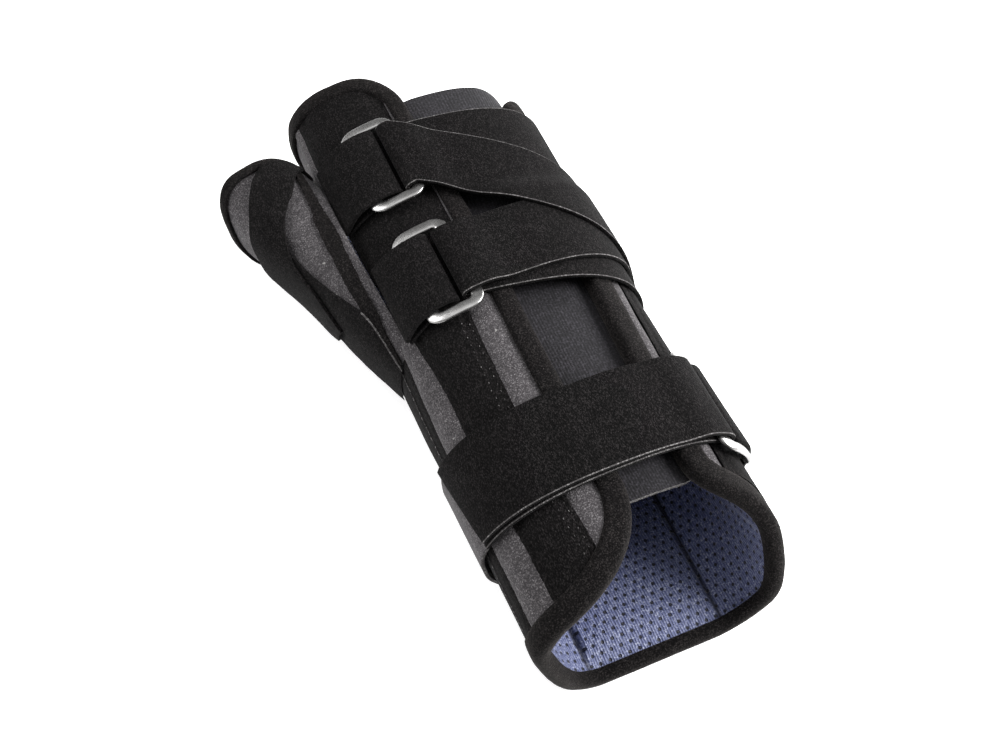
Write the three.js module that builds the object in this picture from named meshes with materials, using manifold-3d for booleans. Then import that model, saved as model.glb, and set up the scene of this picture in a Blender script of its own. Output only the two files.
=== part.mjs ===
// A right-hand wrist and thumb brace, closed by three straps and lying on its palm side.
// Millimetres, +Z up, +Y towards the fingers, +X towards the little finger.
import * as THREE from "three";
import { mergeVertices } from "three/addons/utils/BufferGeometryUtils.js";
import Module from "manifold-3d";

const wasm = await Module();
wasm.setup();

// Thickness of each cloth, the clearance between pieces that touch, and the room their flats need
const GAP = 0.3;
const FACETS = 0.2;
const LINING = 1.0;
const FOAM = 2.2;
const TAPE = 1.0;
const TONGUE = 1.6;
const WEBBING = 1.3;

// Layers, measured outwards from the inner face of the lining
const SHELL_IN = LINING + GAP;
const SHELL_OUT = SHELL_IN + FOAM;
const TAPE_IN = SHELL_OUT + GAP;
const TAPE_OUT = TAPE_IN + TAPE;
const BINDING_IN = -GAP - FACETS / 2;
const TONGUE_OUT = BINDING_IN - TAPE - GAP;
const BINDING_OUT = TAPE_OUT + 2.5 * FACETS;
const STRAP_LOW = BINDING_OUT + GAP + FACETS + WEBBING / 2;
const STRAP_HIGH = STRAP_LOW + WEBBING + GAP + FACETS;

// Flat metal rings, each lying in the turn of a strap and the turn of a tab
const RING = { length: 44, across: 19, bar: 4.2, thick: 1.8, corner: 3.4, ease: 0.4 };
const STRAP_REACH = 3.85;
const TAB_REACH = 8.6;
const TURN_RISE = 2.0;
const RING_MID = STRAP_LOW + TURN_RISE;
const RING_STATIONS = 20;

// Spacing of the sections along a strap, round its turn and after it, and where it settles on itself
const STRAP_STEPS = { low: 6, high: 3.75, turn: 8, across: 2, settle: 14 };

// Inside form of the brace from the elbow end to the fingers: half width, height from palm to back,
// and the two edges of the opening along the back, measured round the form from its crest
const FORM = [
  { y: -150, thumbHalf: 43, littleHalf: 41.3, height: 54, thumbEdge: 0, littleEdge: 19 },
  { y: -100, thumbHalf: 43, littleHalf: 40.4, height: 54, thumbEdge: -1.5, littleEdge: 19.5 },
  { y: -62, thumbHalf: 42.8, littleHalf: 39.2, height: 53.3, thumbEdge: -4.3, littleEdge: 20.9 },
  { y: -25, thumbHalf: 43.3, littleHalf: 38.7, height: 51.6, thumbEdge: -4.4, littleEdge: 23.2 },
  { y: 10, thumbHalf: 43.3, littleHalf: 38.7, height: 49.2, thumbEdge: -3.4, littleEdge: 26.1 },
  { y: 50, thumbHalf: 42.5, littleHalf: 38.7, height: 46, thumbEdge: -3.4, littleEdge: 29.8 },
  { y: 100, thumbHalf: 42.7, littleHalf: 39.6, height: 43, thumbEdge: -5, littleEdge: 34.5 },
  { y: 150, thumbHalf: 42.7, littleHalf: 40, height: 41, thumbEdge: -5, littleEdge: 38 },
];

// How far each side wall leans in towards the palm, and the share of the height below which it does
const LEANS = [
  { y: -150, thumb: 0.175, little: 0.055 },
  { y: -100, thumb: 0.09, little: 0.045 },
  { y: -62, thumb: 0.035, little: 0.03 },
  { y: -25, thumb: 0.01, little: 0.015 },
  { y: 10, thumb: 0, little: 0 },
];
const LEAN = { below: 0.66, low: 0.7 };
const FORM_STEPS = 160;
const SQUARENESS = 2.5;
const PRESSED_FLAT = 2.4;
const PALM_HEIGHT = TAPE_OUT;

// Outline of the flat cloth: its length round the arm, its elbow end with two rounded flaps, and its
// hand end, by the share of the way round from the thumb-side edge
const CLOTH = { around: 205, elbow: -125.5, hand: 126 };
const THUMB_FLAP = { rise: 8.5, over: 85, corner: 34 };
const LITTLE_FLAP = { rise: 27, over: 52, corner: 12 };
const HAND_END = [
  { share: 0, y: 122 },
  { share: 0.1, y: 124 },
  { share: 0.2, y: 126 },
  { share: 0.3, y: 125 },
  { share: 0.5, y: 114 },
  { share: 0.75, y: 100 },
  { share: 1, y: 96 },
];
const HAND_CORNERS = { thumb: 21, little: 9 };
const BINDING = 7;
const CLOTH_COLUMNS = 40;
const CLOTH_ROWS = 8;
const CROWDING = 0.8;
const BAND_STEP = 4.5;
const BAND_ROWS = 8;

// Bands of cloth sewn along the outside, by their distance from the nearer edge of the cloth. The one
// along the back widens from the wrist to the hand, towards the thumb and, past the wrist ring, to the edge
const STAY_POCKET = { from: 16.5, to: 34.5, handFrom: 11.5, handTo: 47.5, wrist: -40, knuckles: 60 };
STAY_POCKET.turn = { elbow: -6, hand: 26 };
const THUMB_STAY = { from: 45, to: 72, hand: 10 };
const LITTLE_STAY = { from: 11.5, to: 32 };

// Part of the hand panel that stays clear of the thumb sleeve, and how far and how high
const HAND_PANEL = { from: 16.5, to: 39, handTo: 51.6, wrist: -20, knuckles: 75 };
const PANEL_ROOM = { elbow: -30, hand: 118, top: 20, under: 8, columns: 8, rows: 10 };

// Tongue under the opening: how far it tucks under each flap, and its ends
const TONGUE_PANEL = { tuck: 12, elbow: -92.5, hand: 107.5, corner: 15, steps: 8 };

// Places of the rings, round the form and along the arm
const HAND_RING = { g: -22.2, y: 71.8 };
const WRIST_RING = { g: -22.2, y: 14.5 };
const ELBOW_RING = { g: 40.8, y: -67 };
const BAR_OFFSET = (RING.across - RING.bar) / 2;

// Tabs that hold the rings: width at the ring, and the sewn end
const HAND_TAB = { width: 34, end: { g: -43, y: 71.8, width: 34 } };
const WRIST_TAB = { width: 33, end: { g: -40, y: 13.5, width: 36 } };
const ELBOW_TAB = { width: 34, end: { g: 74, y: -67, width: 34 } };

// Straps: width at the ring, the sewn end, and the free end laid back with its slant and its lift
const HAND_STRAP = { width: 34.4, lift: WEBBING + GAP };
HAND_STRAP.sewn = { g: 66, y: 63.8, width: 34 };
HAND_STRAP.free = { g: 58, y: 15.1, width: 38 };
const WRIST_STRAP = { width: 31.5, lift: 0 };
WRIST_STRAP.sewn = { g: 69, y: -1.2, width: 32 };
WRIST_STRAP.free = { g: 69, y: 17, width: 32 };
const ELBOW_STRAP = { width: 33.5, lift: 0 };
ELBOW_STRAP.sewn = { g: -76, y: -68, width: 34 };
ELBOW_STRAP.free = { g: -38, y: -67, width: 33.5, slant: 7 };

// Thumb sleeve: middle line and inner radius from the wrist to the tip
const THUMB = [
  { x: -22, y: -20, z: 28, radius: 16 },
  { x: -36.5, y: 18, z: 28, radius: 17 },
  { x: -48, y: 50, z: 27.5, radius: 15.5 },
  { x: -59, y: 76.5, z: 26, radius: 15.5 },
  { x: -69.6, y: 101.6, z: 25, radius: 15.2 },
];
const THUMB_SLANT = { from: 0.6, cut: 0.21, longest: THREE.MathUtils.degToRad(114) };
const THUMB_SQUARENESS = 2.6;
const SLEEVE = 2.4;
const THUMB_CORNERS = 20;
const THUMB_PLACES = [0, 0.1, 0.2, 0.3, 0.4, 0.5, 0.6, 0.72, 0.84];
const THUMB_BEYOND = 0.1;
const THUMB_HOLE = { end: 0.64, d: -1 };
const THUMB_RIM = 3.5;

// The form as a plug for cutting what lies on it: corners round it, sections along it and its overhangs
const FORM_PLUG = { corners: 60, sections: 12, elbow: 5, hand: 20 };

// Strap wound round the thumb and led back to the wrist: its two edges, as places along the sleeve
// and degrees round it
const THUMB_STRAP = [
  { at: 0, wristPlace: 0.92, wristTurn: -10, tipPlace: 0.95, tipTurn: 10 },
  { at: 1, wristPlace: 0.9, wristTurn: 26, tipPlace: 0.95, tipTurn: 48 },
  { at: 2, wristPlace: 0.82, wristTurn: 62, tipPlace: 0.94, tipTurn: 86 },
  { at: 3, wristPlace: 0.73, wristTurn: 95, tipPlace: 0.885, tipTurn: 114 },
  { at: 4, wristPlace: 0.655, wristTurn: 122, tipPlace: 0.823, tipTurn: 140 },
  { at: 5, wristPlace: 0.578, wristTurn: 138, tipPlace: 0.71, tipTurn: 164 },
  { at: 6, wristPlace: 0.515, wristTurn: 145, tipPlace: 0.6, tipTurn: 174 },
  { at: 7, wristPlace: 0.39, wristTurn: 146, tipPlace: 0.46, tipTurn: 180 },
  { at: 8, wristPlace: 0.27, wristTurn: 141, tipPlace: 0.29, tipTurn: 178 },
  { at: 9, wristPlace: 0.1, wristTurn: 147, tipPlace: 0.11, tipTurn: 178 },
];

// Tape over the seam between the sleeve and the hand panel, by the same places
const SEAM_TAPE = [
  { at: 0, handPlace: 0.2, handTurn: 119, sidePlace: 0.22, sideTurn: 133 },
  { at: 1, handPlace: 0.255, handTurn: 118, sidePlace: 0.27, sideTurn: 132 },
  { at: 2, handPlace: 0.355, handTurn: 106, sidePlace: 0.385, sideTurn: 119 },
  { at: 3, handPlace: 0.47, handTurn: 93, sidePlace: 0.48, sideTurn: 106 },
  { at: 4, handPlace: 0.56, handTurn: 84, sidePlace: 0.57, sideTurn: 93 },
  { at: 5, handPlace: 0.65, handTurn: 72, sidePlace: 0.66, sideTurn: 82 },
  { at: 6, handPlace: 0.74, handTurn: 58, sidePlace: 0.735, sideTurn: 69 },
];

const STRAP_GRID = { columns: 22, across: 3 };
const TAPE_GRID = { columns: 14, across: 2 };
const ROOM_GRID = { columns: 4, across: 2 };

// Smooth values between the rows of a table, by its first column
function smoothTable(rows, columns) {
  const places = rows.map((row) => row[columns[0]]);
  const values = rows.flatMap((row) => columns.slice(1).map((name) => row[name]));
  return new THREE.CubicInterpolant(places, values, columns.length - 1, []);
}

const formTable = smoothTable(FORM, Object.keys(FORM[0]));
const leanTable = smoothTable(LEANS, Object.keys(LEANS[0]));
const handTable = smoothTable(HAND_END, ["share", "y"]);
const sections = new Map();

// A sine or cosine for a rounded square instead of a circle
function squared(value, squareness) {
  return Math.sign(value) * Math.abs(value) ** (2 / squareness);
}

// One section of the form: points from the crest towards the little finger and round, with
// outward normals and the length walked so far
function section(y) {
  const key = y.toFixed(3);
  if (sections.has(key)) return sections.get(key);
  const [thumbHalf, littleHalf, height, thumbEdge, littleEdge] = formTable.evaluate(y);
  const [thumbLean, littleLean] = leanTable.evaluate(y);
  const middle = PALM_HEIGHT - PRESSED_FLAT + (height + PRESSED_FLAT) / 2;
  const points = [];
  for (let i = 0; i < FORM_STEPS; i++) {
    const angle = (2 * Math.PI * i) / FORM_STEPS;
    const [half, lean] = angle < Math.PI ? [littleHalf, littleLean] : [thumbHalf, thumbLean];
    const rise = ((height + PRESSED_FLAT) / 2) * squared(Math.cos(angle), SQUARENESS);
    const z = Math.max(middle + rise, PALM_HEIGHT);
    const low = Math.min(1, (z - PALM_HEIGHT) / (LEAN.below * height));
    const narrowed = 1 - lean * Math.sin(Math.PI * low ** LEAN.low);
    points.push({ x: half * squared(Math.sin(angle), SQUARENESS) * narrowed, z });
  }
  let girth = 0;
  points.forEach((point, i) => {
    const before = points[(i + FORM_STEPS - 1) % FORM_STEPS];
    const after = points[(i + 1) % FORM_STEPS];
    const tilt = Math.hypot(after.x - before.x, after.z - before.z);
    point.nx = -(after.z - before.z) / tilt;
    point.nz = (after.x - before.x) / tilt;
    point.walked = girth;
    girth += Math.hypot(after.x - point.x, after.z - point.z);
  });
  const made = { points, girth, thumbEdge, littleEdge };
  sections.set(key, made);
  return made;
}

// A place g round the form from its crest, y along the arm and d out from the lining
function wrap(g, y, d) {
  const { points, girth } = section(y);
  const walked = ((g % girth) + girth) % girth;
  let low = 0;
  let high = FORM_STEPS;
  while (high - low > 1) {
    const mid = (low + high) >> 1;
    if (points[mid].walked <= walked) low = mid;
    else high = mid;
  }
  const a = points[low];
  const b = points[(low + 1) % FORM_STEPS];
  const span = (high === FORM_STEPS ? girth : b.walked) - a.walked;
  const t = (walked - a.walked) / span;
  const nx = THREE.MathUtils.lerp(a.nx, b.nx, t);
  const nz = THREE.MathUtils.lerp(a.nz, b.nz, t);
  const size = Math.hypot(nx, nz);
  const x = THREE.MathUtils.lerp(a.x, b.x, t) + (d * nx) / size;
  const z = THREE.MathUtils.lerp(a.z, b.z, t) + (d * nz) / size;
  return new THREE.Vector3(x, y, z);
}

// A place on the cloth: share 0 at the thumb-side edge, round by the palm to 1 at the other edge
function cloth(share, y, d) {
  const { girth, thumbEdge, littleEdge } = section(y);
  return wrap(thumbEdge - share * (girth - littleEdge + thumbEdge), y, d);
}

// How far a rounded corner cuts in, at a distance from the edge
function cornerCut(distance, radius) {
  if (distance >= radius) return 0;
  return radius - Math.sqrt(radius ** 2 - (radius - distance) ** 2);
}

function elbowEnd(share) {
  const flap = share < 0.5 ? THUMB_FLAP : LITTLE_FLAP;
  const distance = Math.max(0, Math.min(share, 1 - share)) * CLOTH.around;
  const rise = flap.rise * THREE.MathUtils.smoothstep(1 - distance / flap.over, 0, 1);
  return CLOTH.elbow + rise + cornerCut(distance, flap.corner);
}

function handEnd(share) {
  const inside = THREE.MathUtils.clamp(share, 0, 1);
  const [end] = handTable.evaluate(inside);
  const thumbSide = cornerCut(inside * CLOTH.around, HAND_CORNERS.thumb);
  return end - thumbSide - cornerCut((1 - inside) * CLOTH.around, HAND_CORNERS.little);
}

// Columns across the cloth, closer together near its two edges
function spread(u) {
  return u - (CROWDING * Math.sin(2 * Math.PI * u)) / (2 * Math.PI);
}

// Geometry from points and triangles, turned to face outwards
function solidFrom(points, triangles) {
  const corner = (i) => points[triangles[i]];
  let volume = 0;
  for (let i = 0; i < triangles.length; i += 3) {
    volume += corner(i).dot(corner(i + 1).clone().cross(corner(i + 2)));
  }
  if (volume < 0) triangles.reverse();
  return new THREE.BufferGeometry().setFromPoints(points).setIndex(triangles);
}

// A closed wall from a grid of places, with an inner face 0 and an outer face 1
function wall(columns, rows, at) {
  const points = [];
  const triangles = [];
  for (const face of [0, 1]) {
    for (let i = 0; i <= columns; i++) {
      for (let j = 0; j <= rows; j++) points.push(at(i / columns, j / rows, face));
    }
  }
  const index = (i, j, face) => (face * (columns + 1) + i) * (rows + 1) + j;
  const quad = (a, b, c, d) => triangles.push(a, b, c, a, c, d);
  for (let i = 0; i < columns; i++) {
    for (let j = 0; j < rows; j++) {
      quad(index(i, j, 1), index(i + 1, j, 1), index(i + 1, j + 1, 1), index(i, j + 1, 1));
      quad(index(i, j, 0), index(i, j + 1, 0), index(i + 1, j + 1, 0), index(i + 1, j, 0));
    }
    quad(index(i, 0, 0), index(i + 1, 0, 0), index(i + 1, 0, 1), index(i, 0, 1));
    quad(index(i, rows, 1), index(i + 1, rows, 1), index(i + 1, rows, 0), index(i, rows, 0));
  }
  for (let j = 0; j < rows; j++) {
    quad(index(0, j, 1), index(0, j + 1, 1), index(0, j + 1, 0), index(0, j, 0));
    quad(index(columns, j, 0), index(columns, j + 1, 0), index(columns, j + 1, 1), index(columns, j, 1));
  }
  return solidFrom(points, triangles);
}

// A closed loop of equal sections
function hoop(loops) {
  const corners = loops[0].length;
  const triangles = [];
  loops.forEach((loop, i) => {
    const next = (i + 1) % loops.length;
    for (let k = 0; k < corners; k++) {
      const l = (k + 1) % corners;
      const a = i * corners + k;
      const b = next * corners + k;
      const c = next * corners + l;
      const d = i * corners + l;
      triangles.push(a, b, c, a, c, d);
    }
  });
  return solidFrom(loops.flat(), triangles);
}

// A solid bar through a row of sections, with flat ends
function bar(loops) {
  const corners = loops[0].length;
  const points = loops.flat();
  const triangles = [];
  for (let i = 0; i < loops.length - 1; i++) {
    for (let k = 0; k < corners; k++) {
      const l = (k + 1) % corners;
      const a = i * corners;
      const b = a + corners;
      triangles.push(a + k, b + k, b + l, a + k, b + l, a + l);
    }
  }
  const last = (loops.length - 1) * corners;
  for (let k = 1; k < corners - 1; k++) {
    triangles.push(0, k, k + 1);
    triangles.push(last, last + k + 1, last + k);
  }
  return solidFrom(points, triangles);
}

function toManifold(geometry) {
  const bare = new THREE.BufferGeometry();
  bare.setAttribute("position", geometry.getAttribute("position"));
  bare.setIndex(geometry.index);
  const merged = mergeVertices(bare, 1e-4);
  const mesh = new wasm.Mesh({
    numProp: 3,
    vertProperties: merged.attributes.position.array,
    triVerts: new Uint32Array(merged.index.array),
  });
  return new wasm.Manifold(mesh);
}

function toGeometry(manifold) {
  const mesh = manifold.getMesh();
  const geometry = new THREE.BufferGeometry();
  geometry.setAttribute("position", new THREE.BufferAttribute(mesh.vertProperties, 3));
  geometry.setIndex(new THREE.BufferAttribute(mesh.triVerts, 1));
  return geometry;
}

// A layer of the whole cloth between two depths
function clothLayer(inner, outer) {
  return wall(CLOTH_COLUMNS, CLOTH_ROWS, (u, v, face) => {
    const share = spread(u);
    const y = THREE.MathUtils.lerp(elbowEnd(share), handEnd(share), v);
    return cloth(share, y, face ? outer : inner);
  });
}

// A place inside an end of the cloth, measured square to that end
function insideEnd(end, share, inset) {
  const step = 1 / CLOTH.around;
  const slope = (end(share + step) - end(share - step)) / 2;
  return end(share) + inset * Math.hypot(1, slope);
}

// A band along the cloth between two distances from the thumb-side edge, which may widen from the
// wrist to the knuckles
function clothBand(band, elbow, hand) {
  const { from, to, handFrom = from, handTo = to, wrist = 0, knuckles = 1 } = band;
  const turn = band.turn ?? { elbow: wrist, hand: knuckles };
  const columns = Math.ceil((handTo - handFrom) / BAND_STEP);
  return wall(columns, BAND_ROWS, (u, v, face) => {
    const nominal = THREE.MathUtils.lerp(from, to, u) / CLOTH.around;
    const level = THREE.MathUtils.lerp(elbow(nominal), hand(nominal), v);
    const wide = THREE.MathUtils.smoothstep(level, wrist, knuckles);
    const turned = THREE.MathUtils.smoothstep(level, turn.elbow, turn.hand);
    const inner = THREE.MathUtils.lerp(from, handFrom, turned);
    const outer = THREE.MathUtils.lerp(to, handTo, wide);
    const share = THREE.MathUtils.lerp(inner, outer, u) / CLOTH.around;
    const y = THREE.MathUtils.lerp(elbow(share), hand(share), v);
    return cloth(share, y, face ? TAPE_OUT : TAPE_IN);
  });
}

// Outline of the cloth, once round, as shares and places along the arm
function clothOutline() {
  const across = CLOTH_COLUMNS;
  const along = CLOTH_ROWS;
  const outline = [];
  for (let i = 0; i < along; i++) {
    outline.push({ share: 0, y: THREE.MathUtils.lerp(elbowEnd(0), handEnd(0), i / along) });
  }
  for (let i = 0; i < across; i++) {
    const share = spread(i / across);
    outline.push({ share, y: handEnd(share) });
  }
  for (let i = 0; i < along; i++) {
    outline.push({ share: 1, y: THREE.MathUtils.lerp(handEnd(1), elbowEnd(1), i / along) });
  }
  for (let i = 0; i < across; i++) {
    const share = spread(1 - i / across);
    outline.push({ share, y: elbowEnd(share) });
  }
  return outline;
}

// Section of the folded binding: inset from the cloth's edge, and depth
function bindingProfile() {
  const room = GAP + 2 * FACETS;
  return [
    { inset: BINDING, d: BINDING_OUT },
    { inset: -TAPE - room, d: BINDING_OUT },
    { inset: -TAPE - room, d: BINDING_IN - TAPE },
    { inset: BINDING, d: BINDING_IN - TAPE },
    { inset: BINDING, d: BINDING_IN },
    { inset: -room, d: BINDING_IN },
    { inset: -room, d: BINDING_OUT - TAPE },
    { inset: BINDING, d: BINDING_OUT - TAPE },
  ];
}

function edgeBinding() {
  const outline = clothOutline();
  const count = outline.length;
  const loops = outline.map((place, i) => {
    const before = outline[(i + count - 1) % count];
    const after = outline[(i + 1) % count];
    const dp = (after.share - before.share) * CLOTH.around;
    const dy = after.y - before.y;
    const size = Math.hypot(dp, dy);
    return bindingProfile().map(({ inset, d }) => {
      const share = place.share + (inset * dy) / size / CLOTH.around;
      return cloth(share, place.y - (inset * dp) / size, d);
    });
  });
  return hoop(loops);
}

function tonguePanel() {
  const { tuck, elbow, hand, corner, steps } = TONGUE_PANEL;
  return wall(steps, steps, (side, v, face) => {
    const nominal = section(0);
    const width = nominal.littleEdge - nominal.thumbEdge + 2 * tuck;
    const cut = cornerCut(Math.min(side, 1 - side) * width, corner);
    const y = THREE.MathUtils.lerp(elbow + cut, hand - cut, v);
    const { thumbEdge, littleEdge } = section(y);
    const g = THREE.MathUtils.lerp(thumbEdge - tuck, littleEdge + tuck, side);
    return wrap(g, y, face ? TONGUE_OUT : TONGUE_OUT - TONGUE);
  });
}

// A flat metal ring bent to the form
function metalRing(place) {
  const halfAcross = BAR_OFFSET;
  const halfLength = (RING.length - RING.bar) / 2;
  const path = new THREE.Shape();
  const { corner } = RING;
  path.moveTo(-halfAcross + corner, -halfLength);
  path.lineTo(halfAcross - corner, -halfLength);
  path.absarc(halfAcross - corner, -halfLength + corner, corner, -Math.PI / 2, 0);
  path.lineTo(halfAcross, halfLength - corner);
  path.absarc(halfAcross - corner, halfLength - corner, corner, 0, Math.PI / 2);
  path.lineTo(-halfAcross + corner, halfLength);
  path.absarc(-halfAcross + corner, halfLength - corner, corner, Math.PI / 2, Math.PI);
  path.lineTo(-halfAcross, -halfLength + corner);
  path.absarc(-halfAcross + corner, -halfLength + corner, corner, Math.PI, 1.5 * Math.PI);
  const halfBar = RING.bar / 2;
  const halfThick = RING.thick / 2;
  const profile = [
    [halfBar, -halfThick + RING.ease],
    [halfBar, halfThick - RING.ease],
    [halfBar - RING.ease, halfThick],
    [-halfBar + RING.ease, halfThick],
    [-halfBar, halfThick - RING.ease],
    [-halfBar, -halfThick + RING.ease],
    [-halfBar + RING.ease, -halfThick],
    [halfBar - RING.ease, -halfThick],
  ];
  const loops = [];
  for (let i = 0; i < RING_STATIONS; i++) {
    const middle = path.getPointAt(i / RING_STATIONS);
    const along = path.getTangentAt(i / RING_STATIONS);
    loops.push(
      profile.map(([out, up]) => {
        const g = place.g + middle.x + along.y * out;
        const y = place.y + middle.y - along.x * out;
        return wrap(g, y, RING_MID + up);
      }),
    );
  }
  return hoop(loops);
}

// A band sewn down at one end, led under a ring's bar, turned round it and laid back over itself.
// Each end gives its place round the form and along the arm, its width and its slant.
function foldedBand({ sewn, turn, free, reach, lift }) {
  const rows = [];
  const side = Math.sign(turn.g - sewn.g);
  const { settle } = STRAP_STEPS;
  const between = (a, b, t, d) => ({
    g: THREE.MathUtils.lerp(a.g, b.g, t),
    y: THREE.MathUtils.lerp(a.y, b.y, t),
    width: THREE.MathUtils.lerp(a.width, b.width, t),
    slant: THREE.MathUtils.lerp(a.slant ?? 0, b.slant ?? 0, t),
    d,
  });
  const lowSteps = Math.ceil(Math.abs(turn.g - sewn.g) / STRAP_STEPS.low);
  for (let i = 0; i <= lowSteps; i++) rows.push(between(sewn, turn, i / lowSteps, STRAP_LOW));
  for (let i = 1; i < STRAP_STEPS.turn; i++) {
    const angle = (Math.PI * i) / STRAP_STEPS.turn;
    const row = between(turn, turn, 0, RING_MID - TURN_RISE * Math.cos(angle));
    row.g += side * reach * Math.sin(angle);
    rows.push(row);
  }
  const highSteps = Math.ceil(Math.abs(turn.g - free.g) / STRAP_STEPS.high);
  for (let i = 0; i <= highSteps; i++) {
    const row = between(turn, free, i / highSteps, 0);
    const away = Math.abs(row.g - turn.g);
    const down = THREE.MathUtils.smoothstep(away, STRAP_REACH, settle);
    const up = lift * THREE.MathUtils.smoothstep(away, settle, 2 * settle);
    row.d = THREE.MathUtils.lerp(RING_MID + TURN_RISE, STRAP_HIGH, down) + up;
    rows.push(row);
  }
  const count = rows.length - 1;
  return wall(count, STRAP_STEPS.across, (u, v, face) => {
    const i = Math.round(u * count);
    const row = rows[i];
    const before = rows[Math.max(0, i - 1)];
    const after = rows[Math.min(count, i + 1)];
    const size = Math.hypot(after.g - before.g, after.d - before.d);
    const out = (face - 0.5) * WEBBING;
    const g = row.g + (v - 0.5) * row.slant - (out * (after.d - before.d)) / size;
    const d = row.d + (out * (after.g - before.g)) / size;
    return wrap(g, row.y + (v - 0.5) * row.width, d);
  });
}

// The thumb's middle line, radius and the directions across it
const thumbLine = new THREE.CatmullRomCurve3(THUMB.map(({ x, y, z }) => new THREE.Vector3(x, y, z)));
const THUMB_LENGTH = thumbLine.getLength();
const thumbRadius = smoothTable(
  THUMB.map((row, i) => ({ at: i / (THUMB.length - 1), radius: row.radius })),
  ["at", "radius"],
);

// A place on the sleeve: along it from the wrist to the tip, round it from the side of the hand, and
// out from its inner face. The tip is longest on its upper side and cut back below.
function thumbAt(place, angle, d) {
  const nearTip = THREE.MathUtils.smoothstep(place, THUMB_SLANT.from, 1);
  const t = place - (THUMB_SLANT.cut * nearTip * (1 - Math.cos(angle - THUMB_SLANT.longest))) / 2;
  const inside = THREE.MathUtils.clamp(t, 0, 1);
  const along = thumbLine.getTangent(inside);
  const middle = thumbLine.getPoint(inside).addScaledVector(along, (t - inside) * THUMB_LENGTH);
  const side = new THREE.Vector3(along.y, -along.x, 0).normalize();
  const up = side.clone().cross(along);
  const [radius] = thumbRadius.evaluate(inside);
  const across = (radius + d) * squared(Math.cos(angle), THUMB_SQUARENESS);
  const rise = (radius + d) * squared(Math.sin(angle), THUMB_SQUARENESS);
  return middle.addScaledVector(side, across).addScaledVector(up, rise);
}

// The same number of millimetres past the tip as a place along the sleeve
function pastTip(distance) {
  return 1 + distance / THUMB_LENGTH;
}

// A solid filling the sleeve through a row of places along it, out to a depth
function thumbPlug(places, d) {
  const loops = places.map((t) => {
    const loop = [];
    for (let k = 0; k < THUMB_CORNERS; k++) loop.push(thumbAt(t, (2 * Math.PI * k) / THUMB_CORNERS, d));
    return loop;
  });
  return toManifold(bar(loops));
}

// Binding folded over the sleeve's tip
function thumbRim() {
  const room = GAP + FACETS;
  const profile = [
    [pastTip(-THUMB_RIM), SLEEVE + room + TAPE],
    [pastTip(room + TAPE), SLEEVE + room + TAPE],
    [pastTip(room + TAPE), -room - TAPE],
    [pastTip(-THUMB_RIM), -room - TAPE],
    [pastTip(-THUMB_RIM), -room],
    [pastTip(room), -room],
    [pastTip(room), SLEEVE + room],
    [pastTip(-THUMB_RIM), SLEEVE + room],
  ];
  const loops = [];
  for (let k = 0; k < THUMB_CORNERS; k++) {
    const angle = (2 * Math.PI * k) / THUMB_CORNERS;
    loops.push(profile.map(([t, d]) => thumbAt(t, angle, d)));
  }
  return hoop(loops);
}

// A band lying on the sleeve between the two edges of a table
function sleeveBand(rows, { columns, across }, thick) {
  const edges = smoothTable(rows, Object.keys(rows[0]));
  const inner = SLEEVE + GAP + FACETS;
  const band = wall(columns, across, (u, v, face) => {
    const [firstPlace, firstTurn, lastPlace, lastTurn] = edges.evaluate(u * (rows.length - 1));
    const t = THREE.MathUtils.lerp(firstPlace, lastPlace, v);
    const turn = THREE.MathUtils.degToRad(THREE.MathUtils.lerp(firstTurn, lastTurn, v));
    return thumbAt(t, turn, face ? inner + thick : inner);
  });
  return toManifold(band);
}

// Room over the form for a tab, from its ring to its sewn end
function tabRoom(ring, { end }) {
  const margin = 2 * GAP;
  const half = end.width / 2 + margin;
  const top = RING_MID + TURN_RISE + WEBBING + margin;
  const room = wall(ROOM_GRID.columns, ROOM_GRID.across, (u, v, face) => {
    const g = THREE.MathUtils.lerp(end.g - margin, ring.g, u);
    return wrap(g, end.y + (2 * v - 1) * half, face ? top : SHELL_IN);
  });
  return toManifold(room);
}

// Room straight up over the hand panel
function panelRoom() {
  const { from, to, handTo, wrist, knuckles } = HAND_PANEL;
  const { elbow, hand, top, under, columns, rows } = PANEL_ROOM;
  const room = wall(columns, rows, (u, v, face) => {
    const y = THREE.MathUtils.lerp(elbow, hand, v);
    const limit = THREE.MathUtils.lerp(to, handTo, THREE.MathUtils.smoothstep(y, wrist, knuckles));
    const spot = cloth(THREE.MathUtils.lerp(from, limit, u) / CLOTH.around, y, TAPE_OUT + GAP);
    spot.z += face ? top : -under;
    return spot;
  });
  return toManifold(room);
}

// The whole form as a solid, out to a depth
function formPlug(d) {
  const { corners, sections: steps, elbow, hand } = FORM_PLUG;
  const loops = [];
  for (let i = 0; i <= steps; i++) {
    const y = THREE.MathUtils.lerp(CLOTH.elbow - elbow, CLOTH.hand + hand, i / steps);
    const { girth } = section(y);
    const loop = [];
    for (let k = 0; k < corners; k++) loop.push(wrap((girth * k) / corners, y, d));
    loops.push(loop);
  }
  return toManifold(bar(loops));
}

const places = [...THUMB_PLACES, pastTip(-THUMB_RIM)];
const holePlaces = places.filter((t) => t < THUMB_HOLE.end);
const thumbHole = thumbPlug([...holePlaces, THUMB_HOLE.end], THUMB_HOLE.d);
const thumbOutside = thumbPlug([...places, 1], SLEEVE + GAP);
const handRooms = tabRoom(HAND_RING, HAND_TAB).add(tabRoom(WRIST_RING, WRIST_TAB)).add(panelRoom());
const sleeve = thumbPlug([...places, 1], SLEEVE)
  .subtract(thumbPlug([-THUMB_BEYOND, ...places, 1, 1 + THUMB_BEYOND], 0))
  .subtract(formPlug(SHELL_OUT + GAP))
  .subtract(handRooms);
const sleeveInside = thumbPlug([-THUMB_BEYOND, ...places, 1 + THUMB_BEYOND], -GAP);
const sleeveRoom = thumbPlug([...places, pastTip(GAP)], SLEEVE + GAP).subtract(sleeveInside);
const overTape = formPlug(TAPE_OUT + GAP);
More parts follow.
